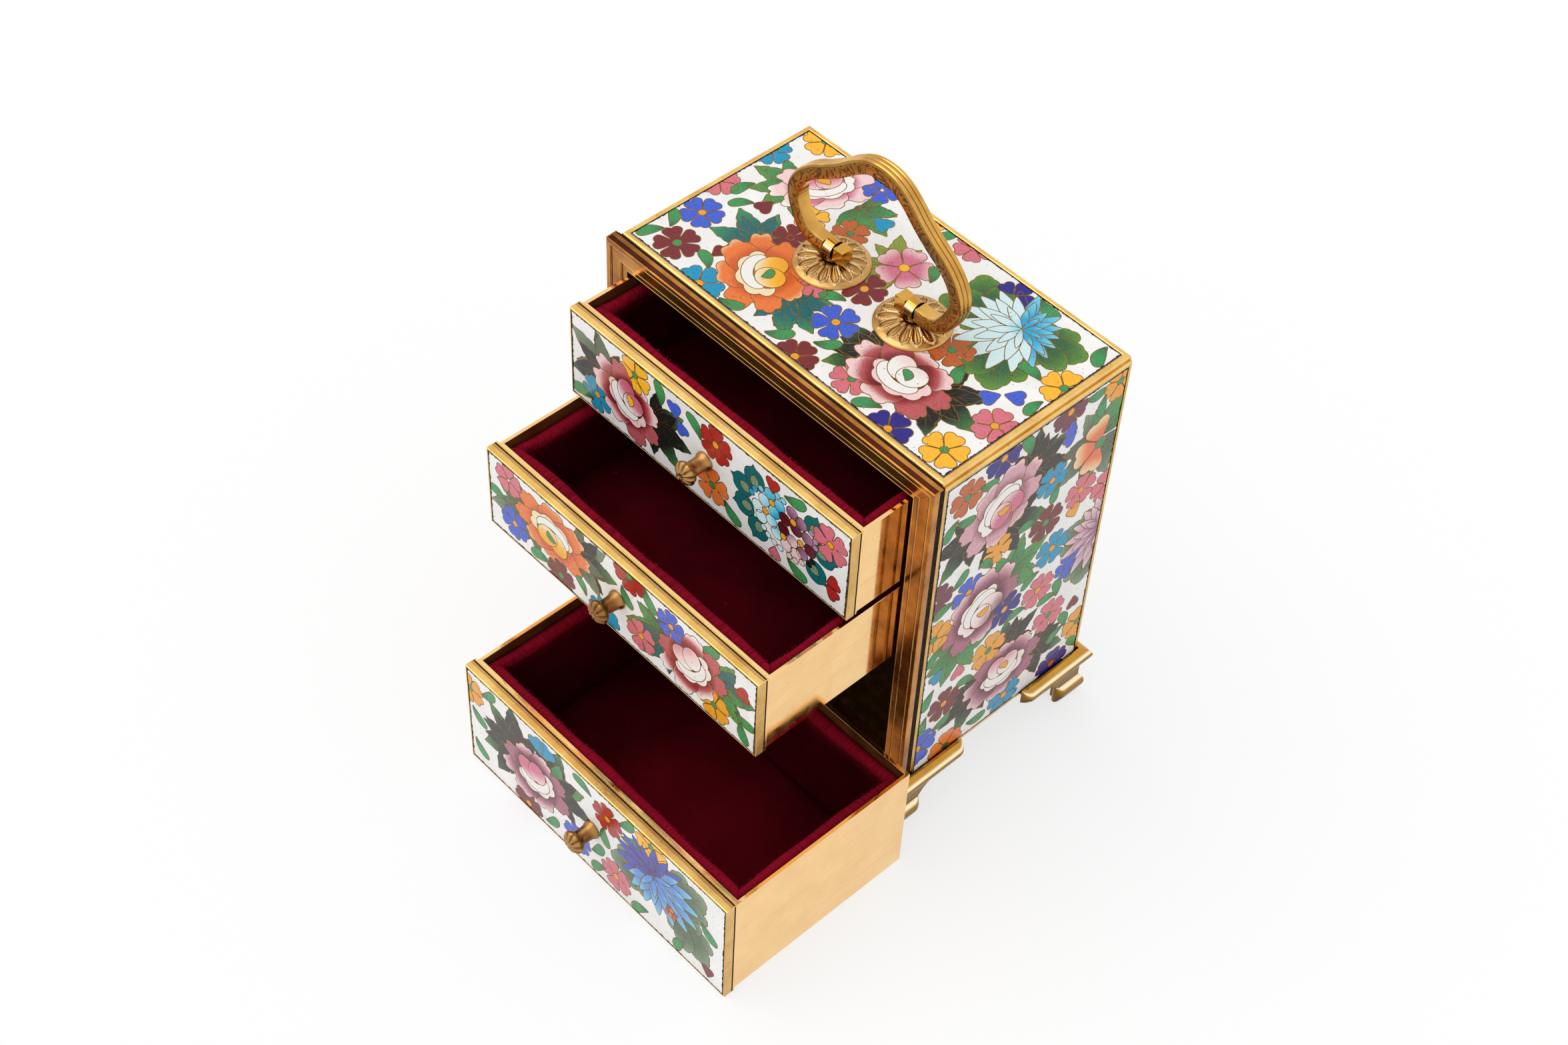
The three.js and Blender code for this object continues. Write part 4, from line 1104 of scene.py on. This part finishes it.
def paint_right():
    """The right side, as photographed."""
    panel = Drawing("right_enamel", Y, Z, X)
    panel.leaves(-1, 35, (LEAF_DARK, LEAF_TIPPED), (-6, 11), (-66, 11), (-110, 12))
    panel.leaves(-17, 28, (LEAF_DARK, LEAF_TIPPED), (88, 10), (138, 12))
    panel.leaves(-8, 22, (LEAF_DARK, LEAF_DARK, LEAF_TIPPED), (146, 9), (-148, 8.5), (-108, 14))
    panel.leaves(21, 30, (LEAF_GREY, LEAF_GREEN), (28, 11), (-28, 12), (120, 13), (175, 11), (-160, 13))
    panel.leaves(-4, 3, (LEAF_GREEN,), (-20, 11), (-68, 12), (-124, 11))
    panel.leaves(-17, -9, (LEAF_GREEN,), (112, 9.5), (160, 11), (-155, 11))
    panel.leaves(0, -24, (LEAF_TIPPED, LEAF_DARK), (8, 9), (-58, 10))
    panel.leaves(-9, -32, (LEAF_TIPPED, LEAF_DARK), (64, 9), (118, 11), (160, 12))
    panel.leaves(10, -33, (LEAF_DARK, LEAF_TIPPED), (-58, 8), (-118, 11), (-165, 10))
    panel.oak(24, -3, 11, 52, LEAF_GREY)
    panel.oak(25, -9, 11, 172, LEAF_GREY)
    panel.peony(-8.6, 29.5, 27.5, 23.8, -140, PETAL_MAUVE)
    panel.peony(-10.8, -2.3, 27, 25, -130, PETAL_PLUM, BLUSH_WHITE, ("plum", "blush", "white"))
    panel.peony(0, -32, 27, 21.5, 0, PETAL_DUSKY, BLUSH_WHITE, ("rose", "blush", "white"))
    panel.mum(28, -3, 13, -90, ("plum", "lilac"), ("plum", "lilac", "blush"), 0.5)
    panel.blossom(22, 28.3, 8.6, ("coral", "orange", "cream"), "leaf", 90, (0, 1, 4))
    panel.blossoms(
        (-20.7, 41.3, 5.2, "rust", "leaf", 10), (-10.5, 46.0, 5.4, "navy", "amber", 36),
        (9.6, 46.0, 5.4, "plum", "amber", 36), (25.2, 45.0, 5.4, "amber", "leaf", 30),
        (7.1, 26.7, 5.0, "turquoise", "amber", 36), (18.0, 15.8, 5.0, "coral", "amber", 0),
        (-8.3, 15.8, 4.6, "amber", None, 36), (7.3, 13.0, 5.4, "maroon", "leaf", 8),
        (26.8, 11.7, 5.0, "coral", None, 90), (-26.8, 12.3, 5.4, "plum", None, -90),
        (-16.1, 7.6, 5.2, "blue", "amber", 20), (-25.8, -0.7, 5.6, "amber", "leaf", 0),
        (11.2, 1.6, 5.4, "turquoise", "amber", -10), (8.6, -10.9, 5.3, "coral", "amber", 10),
        (-2.6, -8.7, 5.4, "navy", "amber", -20), (18.5, -9.3, 4.6, "blue", None, 20),
        (-6.1, -20.4, 5.6, "amber", "leaf", -10), (14.3, -24.0, 5.4, "coral", "leaf", 12),
        (-19.4, -28.5, 5.2, "maroon", "amber", 0), (-26.8, -39.3, 6.2, "blue", "amber", -20),
        (-16.9, -46.4, 5.6, "orange", "pine", 0), (2.2, -43.6, 5.4, "turquoise", "amber", 10),
        (18.8, -45.6, 5.4, "navy", "rust", 0), (26.1, -35.5, 5.4, "amber", "leaf", 20),
        (13.0, 38.4, 4.6, "blue", None, -18, (1, 2)), (17.6, 7.4, 5, "amber", None, 20, (0,)),
        (-21.0, -14.0, 5, "turquoise", None, 130, (0,)), (-15.9, -17.0, 5, "coral", None, 180, (0,)),
        (23.0, -23.6, 4.6, "maroon", None, 180, (0,)))
    panel.commas(
        (-14.2, 40.7, 5.6, -110), (-3.3, 44.5, 6.4, 20), (-24.5, 33.4, 5.6, 145), (-20.1, 33.7, 5.4, -115),
        (17.5, 45.8, 5.6, -100), (20.6, 40.7, 5.6, 175), (-19.6, 14.2, 5.6, -50), (-23.6, 7.2, 5.8, 100),
        (-11.2, 13.0, 5.2, 40), (1.0, 16.3, 5.4, 75), (9.2, 21.3, 5.4, 165), (5.1, -4.9, 5.4, 115),
        (-8.9, -13.8, 5.2, 110), (1.9, -13.8, 5.4, 85), (-24.5, -7.7, 5.8, 140), (12.4, -17.0, 5.6, 80),
        (15.3, -15.4, 5.6, 10), (-24.9, -23.0, 5.8, 155), (-12.8, -25.9, 5.6, 65), (20.1, -30.4, 5.8, 20),
        (-25.5, -31.7, 5.4, 170), (-19.8, -35.2, 5.4, -75), (18.2, -34.2, 5.4, 120),
        (-7.0, -44.4, 5.8, -100), (25.5, -43.1, 5.4, 35))
    panel.build("cabinet")


def paint_left():
    """The left side, which the photograph doesn't show."""
    panel = Drawing("left_enamel", -Y, Z, -X)
    panel.leaves(8, 28, (LEAF_DARK, LEAF_TIPPED), (20, 16), (-50, 16), (-110, 16), (95, 17), (150, 16))
    panel.leaves(-9, -2, (LEAF_TEAL,), (50, 16), (100, 16), (-70, 16), (160, 16), (-140, 16))
    panel.leaves(9, -32, (LEAF_GREEN,), (10, 15), (-70, 16), (60, 16), (125, 16), (-150, 15))
    panel.oak(-16, 30, 11, 140, LEAF_GREY)
    panel.oak(18, 0, 11, -50, LEAF_GREEN)
    panel.peony(8, 28, 24, 20, 20, PETAL_WINE, BLUSH_WHITE)
    panel.peony(-9, -2, 24, 21, -30, PETAL_ORANGE, *ORANGE_HEART)
    panel.peony(9, -32, 24, 20, 160, PETAL_PINK)
    panel.mum(-18, 34, 11, 30, ("blue", "blue", "sky"), ("violet", "blue", "ice"))
    panel.scatter()
    panel.build("cabinet")


def paint_back():
    """The back, which the photograph doesn't show."""
    panel = Drawing("back_enamel", -X, Z, Y)
    for x, y, turn, petals, leaf, crescent, facing in (
            (-30, 30, 25, PETAL_PINK, LEAF_GREEN, WHITES, 200),
            (2, 20, -70, PETAL_WINE, LEAF_TIPPED, BLUSH_WHITE, 10),
            (30, 32, 70, PETAL_ORANGE, LEAF_TEAL, CREAMS, -40),
            (-28, -8, 10, PETAL_PLUM, LEAF_GREEN, BLUSH_WHITE, 60),
            (29, -14, -20, PETAL_PINK, LEAF_TIPPED, WHITES, 150),
            (-2, -32, 40, PETAL_WINE, LEAF_DARK, BLUSH_WHITE, -20)):
        blades = ((0, 16), (62, 17), (140, 16), (200, 17), (285, 16))
        panel.leaves(x, y, (leaf,), *[(turn + more, length) for more, length in blades])
        panel.peony(x, y, 24, 20, facing, petals, crescent)
    panel.oak(-30, -32, 11, 30, LEAF_GREY)
    panel.mum(-31, -36, 12, 20, ("cyan", "cyan", "sky"), ("sky", "ice", "ice"))
    panel.oak(33, -36, 11, 60, LEAF_GREEN)
    panel.mum(35, -38, 10, -30, ("violet", "blue", "blue"), ("blue", "sky", "ice"))
    panel.scatter()
    panel.build("cabinet")


def paint_top_drawer():
    """The top drawer's front, as photographed."""
    panel = Drawing("top_drawer_front_enamel", X, Z, -Y)
    panel.leaves(-31, 1, (LEAF_DARK, LEAF_GREY), (22, 10.5), (60, 12.5), (112, 12))
    panel.leaves(-17, -1, (LEAF_TIPPED, LEAF_DARK), (-52, 11), (-92, 11), (-135, 11))
    panel.peony(-25.1, -1.2, 25, 20.5, -35, PETAL_DEEP, BLUSHES, ("brick", "rose", "white"), "yellow")
    hydrangea(panel)
    panel.blossoms(
        (-22.6, 8.4, 5.0, "yellow", "leaf", -36), (-35.3, -7.2, 5.0, "turquoise", "amber", 36),
        (3.1, 7.3, 5.2, "red", "amber", 0), (2.4, -5.6, 5.2, "orange", "leaf", 0),
        (38.0, 5.6, 5.2, "coral", "amber", -54), (-9.4, 5.0, 5, "blue", None, 10, (0,)),
        (-9.0, 6.0, 4.6, "blue", None, 215, (0,)), (20.6, 6.4, 4.8, "red", None, 0, (0,)),
        (37.4, -6.6, 4.6, "red", None, -56, (0, 4)), (22.2, -8.0, 4.2, "coral", None, 180, (0,)))
    panel.commas(
        (-14.9, 9.0, 6, 10), (-3.6, 7.8, 6, 40), (8.9, -9.2, 6, -130), (27.3, 9.8, 6, -75),
        (29.0, -10.0, 6, -115), (-40.2, -10.0, 6.4, 95))
    panel.build("top_drawer")


def hydrangea(panel):
    """A ball of round petals from pale blue to plum, edged with beads, among heart-eyed leaves."""
    leaves = (
        (15.1, 7.0, 8), (11.5, 2.5, 76), (12.3, -3.2, 108), (16.8, -7.4, 158), (33.3, 6.8, -8),
        (36.9, 0.8, -88), (34.7, -6.0, -118))
    for k, (x, y, turn) in enumerate(leaves):
        root, tip = turned([(0, -3), (0, 3)], x, y, turn)
        eye = 0.3 * root + 0.7 * np.array((x, y))
        panel.lay(turned(HEART_LEAF, x, y, turn, 6.6), ("teal", "teal", "teal"), root, tip, k % 2)
        panel.lay(turned(HEART_LEAF, *eye, turn, 3.5, 0.8), ("sage", "sage"), root, tip, 2)
    petals = (
        (19.9, 5.9, "sky", "cyan"), (22.8, 4.7, "sky", "cyan"), (21.4, 1.7, "sky", "cyan"),
        (18.3, 2.9, "ice", "sky"), (16.4, -0.3, "ice", "ice"), (17.7, -2.7, "ice", "ice"),
        (20.8, -1.5, "ice", "sky"), (22.5, -3.9, "ice", "sky"), (26.6, 5.7, "lilac", "plum"),
        (29.4, 4.7, "lilac", "plum"), (28.0, 1.7, "plum", "wine"), (24.6, 2.3, "wine", "wine"),
        (31.4, 1.7, "lilac", "plum"), (24.4, -0.9, "wine", "wine"), (32.4, -1.1, "plum", "wine"),
        (27.1, -2.5, "blush", "lilac"), (30.2, -3.8, "lilac", "plum"), (25.5, -5.1, "blush", "blush"),
        (28.4, -5.6, "blush", "blush"))
    for x, y, light, dark in petals:
        away = np.array((x - 24, y)) * 0.14
        panel.lay(turned(circle(1.72, 16), x, y), (dark, light), (x, y) - away * 2, (x, y) + away * 2, 3)
    for x, y in ((20.6, 3.9), (18.8, 0.0), (27.1, 3.3), (29.6, -1.1), (24.4, -3.3)):
        panel.dot(x, y, 0.95, "amber", 5, 12)
    beads = (
        (22.1, 7.4, "sky"), (23.9, 7.2, "sky"), (17.2, 5.5, "sky"), (15.4, 4.0, "cyan"),
        (14.5, 2.3, "cyan"), (18.6, -5.3, "ice"), (20.0, -6.5, "ice"), (21.9, -7.2, "ice"),
        (23.8, -7.5, "ice"), (26.5, -7.6, "blush"), (28.4, -7.5, "blush"), (30.3, -6.5, "blush"),
        (32.5, 4.6, "lilac"), (33.7, 2.9, "lilac"), (33.9, 1.1, "lilac"), (33.3, -3.6, "night"),
        (32.4, -5.2, "night"))
    for x, y, shade in beads:
        panel.dot(x, y, 0.85, shade, 4, 12)
    panel.claim(23.4, 0.2, 9)


def paint_middle_drawer():
    """The middle drawer's front, as photographed."""
    panel = Drawing("middle_drawer_front_enamel", X, Z, -Y)
    panel.leaves(-14, 3, (LEAF_GREY, LEAF_TIPPED), (-52, 11), (-84, 12), (-135, 10))
    panel.leaves(-29, 1, (LEAF_GREY,), (70, 11), (108, 13), (150, 11))
    panel.leaves(16, 0, (LEAF_TEAL, LEAF_GREEN), (58, 9), (104, 12), (142, 11))
    panel.leaves(31, 1, (LEAF_GREEN, LEAF_TEAL), (-32, 9.5), (-80, 11), (-132, 10))
    panel.peony(-22, 1.6, 27, 19.5, 180, PETAL_ORANGE, *ORANGE_HEART)
    panel.peony(23.4, -0.2, 25, 20, 40, PETAL_WINE, BLUSH_WHITE, ("rose", "blush", "white"), None)
    panel.blossoms(
        (-36.7, 7.4, 4.6, "coral", None, 0), (-35.2, -5.6, 4.8, "blue", "amber", 100),
        (-19.4, -9.4, 4.8, "maroon", "leaf", 0), (3.8, 10.6, 5.2, "red", "leaf", 36),
        (17.1, 6.3, 4.6, "blue", "amber", 0), (7.6, -5.6, 4.8, "coral", "amber", 90),
        (31.0, -7.0, 5.0, "amber", "leaf", 160), (-4.7, -9.8, 5.2, "turquoise", None, 0),
        (36.6, 3.6, 5.2, "red", None, -72, (0,)))
    panel.commas(
        (-41.0, -0.1, 5.6, 80), (-26.5, -9.2, 6, 100), (-12.4, -6.3, 5, 35), (10.3, 8.4, 6, -150),
        (2.9, 3.1, 5.6, -150), (29.0, 9.5, 6.2, -60), (40.4, -3.6, 5.6, -100), (40.2, -8.0, 5.8, -165))
    panel.build("middle_drawer")


def paint_bottom_drawer():
    """The bottom drawer's front, as photographed."""
    panel = Drawing("bottom_drawer_front_enamel", X, Z, -Y)
    panel.leaves(-26, 2, (LEAF_DARK, LEAF_TIPPED), (8, 13), (46, 12), (88, 11), (122, 13), (150, 14))
    panel.leaves(-14, 2, (LEAF_TIPPED, LEAF_GREEN, LEAF_DARK), (-12, 13), (-58, 11.5), (-92, 12))
    panel.oak(28, 5, 12, -50, LEAF_GREY)
    panel.oak(17, -1, 11, 100, LEAF_GREY)
    panel.oak(30, -3, 12, -135, LEAF_GREY)
    panel.peony(-20.3, -1.2, 26, 21.6, 25, PETAL_DUSKY, BLUSH_WHITE, ("rose", "rose", "blush"), None)
    panel.mum(20.5, 4.0, 14.5, 40, ("navy", "violet", "blue"), ("blue", "azure", "azure", "sky"), 0.9)
    heart = turned([(0, 2.6), (2.2, 0), (0, -3), (-2.2, 0)], 26.5, -3.4, 25)
    panel.lay(heart, ("maroon", "rust"), (26, 0), (27, -6), 9)
    for x, y in ((26.6, -2.6), (26.2, -4.4)):
        panel.dot(x, y, 0.75, "orange", 10, 10)
    panel.blossoms(
        (-42.9, 9.6, 5.0, "amber", "leaf", 18), (5.2, 9.0, 5.0, "red", "amber", 0),
        (19.7, 14.2, 5.2, "yellow", "leaf", 36), (7.9, -10.2, 5.2, "coral", "amber", 20),
        (-5.6, -9.7, 4.8, "blue", "amber", 0), (-23.1, -14.6, 5.0, "maroon", "amber", 0),
        (-17.0, 8.8, 6.4, "turquoise", None, 30, (0,)), (-17.0, 8.8, 6.4, "turquoise", None, -24, (0,)),
        (38.6, -15.4, 4.4, "maroon", None, 0, (0,)))
    panel.commas(
        (-36.2, 13.0, 5.6, -52), (-40.1, 1.3, 5.8, -135), (-40.1, -10.6, 5.8, -140),
        (-14.6, -12.5, 5.6, -48), (-3.3, 13.0, 5.8, 70), (11.5, 13.6, 5.8, -50), (12.3, 8.7, 5.2, -65),
        (15.8, 7.3, 5, 175), (4.4, 1.1, 5.8, 190), (1.5, -6.3, 5.6, -40), (1.8, -13.2, 5.6, 130),
        (16.0, -14.0, 6, 125), (29.3, -13.1, 5.6, 150), (38.7, 1.9, 6, -135))
    panel.build("bottom_drawer")


# Velvet linings

# Thickness of a velvet panel, radius of its rolled edge, and how far the roll of each wall stands up
VELVET_THICK, VELVET_CROWN = 2.8 * MM, 1.6 * MM
VELVET_RAISED = np.array((2.9, 2.5, 1.3, 1.3)) * MM


def lining(drawer, seed):
    """Velvet panels with a rolled, fuzzy edge round the walls, and a soft pad on the floor."""
    rng = np.random.default_rng(seed)
    crest = velvet_walls(drawer, rng)
    velvet_pile(drawer, crest, rng)
    floor_pad(drawer, rng)


def wall_section(tall):
    """A velvet panel from its foot at the wall, over its roll and down again: inset and height."""
    arc = np.linspace(math.pi, -0.5, 15)
    below = tall - VELVET_CROWN
    section = [(0.02 * MM, 0.0), (0.02 * MM, below * 0.5)]
    for a in arc:
        down = VELVET_CROWN * math.sin(a) - VELVET_CROWN
        section.append((VELVET_CROWN + VELVET_CROWN * math.cos(a), tall + down))
    for share in (0.9, 0.7, 0.45, 0.2, 0.0):
        section.append((VELVET_THICK * (1 - 0.1 * share), (tall - 2 * VELVET_CROWN) * share))
    return section


def velvet_walls(drawer, rng):
    """The four panels of a lining; returns places along their crests for the loose pile."""
    low, high = (np.array(v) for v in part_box(f"{drawer}_lining_walls"))
    corners = np.array(((low[0], low[1]), (high[0], low[1]), (high[0], high[1]), (low[0], high[1])))
    pace, turn_in, fade, sheen_depth = 0.8 * MM, 7 * MM, 1.4 * MM, 2.9 * MM
    points, faces, crest, spread, run = [], [], [], [], []
    for k in range(4):
        a, b = corners[k], corners[(k + 1) % 4]
        length = np.linalg.norm(b - a)
        along = (b - a) / length
        inward = np.array((-along[1], along[0]))
        steps = int(length / pace)
        phase = rng.uniform(0, 6, 4)
        start = len(points)
        for i in range(steps + 1):
            t = length * i / steps
            swell = 0.05 * math.sin(t / (3.1 * MM) + phase[0]) + 0.07 * math.sin(t / (7.3 * MM) + phase[1])
            corner = np.interp(t, (0, turn_in, length - turn_in, length), (0.5, 0, 0, 0.5))
            beside = VELVET_RAISED[(k - 1) % 4] if t < length / 2 else VELVET_RAISED[(k + 1) % 4]
            tall = high[2] - low[2] + VELVET_RAISED[k] * (1 - corner) + beside * corner
            tall += 0.12 * MM * math.sin(t / (11 * MM) + phase[2])
            section = wall_section(tall)
            for inset, height in section:
                depth = inset * (1 + swell * min(1, inset / VELVET_THICK)) * 0.94
                spot = a + along * np.clip(t, depth, length - depth) + inward * depth
                points.append((spot[0], spot[1], low[2] + height))
                # spread: painted sheen, paler towards the crest of the roll
                spread.append(np.clip((height - tall + sheen_depth) / fade, 0, 1))
                run.append(t + 0.3 * k)
            if VELVET_THICK < t < length - VELVET_THICK:
                crest.append((a + along * t, along, inward, low[2] + tall))
        faces += shifted(grid_faces(steps + 1, len(section)), start)
    walls = new_object(f"{drawer}_velvet_walls", points, faces, VELVET, drawer)
    set_values(walls, "spread", spread)
    set_values(walls, "run", run)
    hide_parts(f"{drawer}_lining_walls")
    return crest


def velvet_pile(drawer, crest, rng):
    """Loose threads along the rolls, and a few fallen on the floor."""
    low, high = (np.array(v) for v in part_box(f"{drawer}_lining_floor"))
    points = []
    for spot, along, inward, top in crest:
        for _ in range(9):
            a = rng.uniform(0.15, 2.9)
            out = np.array((*(inward * -math.cos(a)), math.sin(a)))
            place = spot + inward * VELVET_CROWN * 0.94 + along * rng.uniform(-0.4, 0.4) * MM
            root = np.array((*place, top - VELVET_CROWN)) + out * VELVET_CROWN * 0.9
            lean = out + rng.normal(0, 0.35, 3)
            tip = root + lean * rng.uniform(0.25, 0.55) * MM
            side = np.array((*along, 0)) * 0.045 * MM
            points += [root - side, root + side, tip]
    for _ in range(14):
        spot = np.array([rng.uniform(low[i], high[i]) for i in (0, 1)] + [high[2] + 0.05 * MM])
        way = rng.normal(0, 1, 3) * (0.5, 0.5, 0.12) * MM
        side = np.array((-way[1], way[0], 0)) * 0.1
        points += [spot - side, spot + side, spot + way]
    faces = [(n, n + 1, n + 2) for n in range(0, len(points), 3)]
    flat_piece(f"{drawer}_velvet_pile", points, faces, PILE, drawer)


def floor_pad(drawer, rng):
    """The soft pad on a drawer's floor, with a painted pool of light in the middle of the bottom drawer."""
    low, high = (np.array(v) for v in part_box(f"{drawer}_lining_floor"))
    size = high - low
    columns, rows, edge_radius = 60, 34, 2.2 * MM
    phase = rng.uniform(0, 6, 4)
    light_pool = 0.42 if drawer == "bottom_drawer" else 0.0
    points, paler_share = [], []
    for j in range(rows):
        for i in range(columns):
            u, v = i / (columns - 1), j / (rows - 1)
            # a painted pool of light, carried as spread
            paler_share.append(light_pool * math.exp(-(u - 0.6) ** 2 / 0.1 - (v - 0.4) ** 2 / 0.12))
            edge = min(u, 1 - u, v * 0.55, (1 - v) * 0.55) * size[0]
            round_off = math.sqrt(min(1, edge / edge_radius))
            x, y = low[0] + u * size[0], low[1] + v * size[1]
            wave = 0.1 * math.sin(x / (9 * MM) + phase[0]) * math.sin(y / (7 * MM) + phase[1])
            z = low[2] + size[2] * (0.35 + 0.55 * round_off + wave * round_off * 0.8)
            points.append((x, y, min(z, high[2])))
    count = len(points)
    under = [(x, y, low[2]) for x, y, _ in points]
    faces = grid_faces(rows, columns)
    left = [j * columns for j in range(rows)]
    right = [start + columns - 1 for start in left]
    edge = left[::-1] + list(range(1, columns)) + right[1:] + list(range(count - 2, left[-1], -1))
    skirt = [(b, a, a + count, b + count) for a, b in zip(edge, edge[1:] + edge[:1])]
    faces += shifted(flipped(faces), count) + skirt
    pad = new_object(f"{drawer}_velvet_floor", points + under, faces, VELVET, drawer)
    set_values(pad, "spread", paler_share * 2)
    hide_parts(f"{drawer}_lining_floor")


# Stage, light and camera

HIDDEN_RAYS = ("Is Glossy Ray", "Is Transmission Ray")


def stage():
    """A plain pale floor that keeps the shadow; it glows a little to the camera and in reflections."""
    size, drop, glow_share = 6.0, 0.05 * MM, 0.72
    p = Paint("studio_floor", Roughness=0.9, Specular_IOR_Level=0.0)
    p.finish(Base_Color=rgba("fbfbfb"))
    seen = p.add("LightPath", "Is Camera Ray")
    for ray in HIDDEN_RAYS:
        seen = p.maths("MAXIMUM", seen, p.add("LightPath", ray))
    blend = p.add("MixShader")
    glow = p.add("Emission")
    p.give(blend.node, {0: p.maths("MULTIPLY", seen, glow_share), 1: p.shader.outputs[0], 2: glow})
    p.give(p.tree.nodes["Material Output"], {"Surface": blend})
    mesh = bpy.data.meshes.new("studio_floor")
    mesh.from_pydata([(x * size, y * size, 0) for x, y in CORNERS], [], [(0, 1, 2, 3)])
    mesh.materials.append(p.material)
    floor = bpy.data.objects.new("studio_floor", mesh)
    floor.location.z = -drop
    bpy.context.scene.collection.objects.link(floor)


def light():
    """A soft sky that shows as white, a broad key sun and a weak fill."""
    sky_strength = 0.77
    suns = (("key", 0.84, 50, (14, -24, 0)), ("fill", 0.2, 80, (50, 0, -20)))
    world = bpy.data.worlds.new("studio")
    bpy.context.scene.world = world
    world.use_nodes = True
    tree = world.node_tree
    tree.nodes.clear()

    def add(kind):
        return tree.nodes.new("ShaderNode" + kind)

    path, sky, white, shown = add("LightPath"), add("Background"), add("Background"), add("MixShader")
    sky.inputs["Strength"].default_value = sky_strength
    for background in (sky, white):
        background.inputs["Color"].default_value = (1, 1, 1, 1)
    seen = path.outputs["Is Camera Ray"]
    for ray in HIDDEN_RAYS:
        either = add("Math")
        either.operation = "MAXIMUM"
        tree.links.new(seen, either.inputs[0])
        tree.links.new(path.outputs[ray], either.inputs[1])
        seen = either.outputs[0]
    for socket, source in zip(shown.inputs, (seen, sky.outputs[0], white.outputs[0])):
        tree.links.new(source, socket)
    tree.links.new(shown.outputs[0], add("OutputWorld").inputs["Surface"])
    for name, energy, spread, tilt in suns:
        lamp = bpy.data.lights.new(name, "SUN")
        lamp.energy = energy
        lamp.angle = math.radians(spread)
        lamp_object = bpy.data.objects.new(name, lamp)
        lamp_object.rotation_euler = [math.radians(a) for a in tilt]
        bpy.context.scene.collection.objects.link(lamp_object)


def camera():
    """The camera that was fitted to the photograph."""
    azimuth, elevation, roll = (math.radians(a) for a in (44.579, 48.298, 3.274))
    distance, lens = 532.234 * MM, 58.876
    target = Vector((20.391, -11.942, 92.205)) * MM
    right = Vector((math.cos(azimuth), math.sin(azimuth), 0))
    level = math.cos(elevation)
    back = Vector((math.sin(azimuth) * level, -math.cos(azimuth) * level, math.sin(elevation)))
    up = back.cross(right)
    tilted_right = right * math.cos(roll) + up * math.sin(roll)
    tilted_up = up * math.cos(roll) - right * math.sin(roll)
    data = bpy.data.cameras.new("camera")
    data.lens = lens
    data.sensor_width = 36
    data.clip_start = 0.01
    data.clip_end = 20
    viewer = bpy.data.objects.new("camera", data)
    facing = Matrix((tilted_right, tilted_up, back)).transposed().to_4x4()
    viewer.matrix_world = Matrix.Translation(target + back * distance) @ facing
    bpy.context.scene.collection.objects.link(viewer)
    bpy.context.scene.camera = viewer


camera()
light()
stage()
dress_metal()
frame_lines()
paint_top()
paint_right()
paint_left()
paint_back()
paint_top_drawer()
paint_middle_drawer()
paint_bottom_drawer()
for seed, name in enumerate(DRAWERS):
    lining(name, seed)
bpy.context.scene.view_settings.view_transform = "Standard"
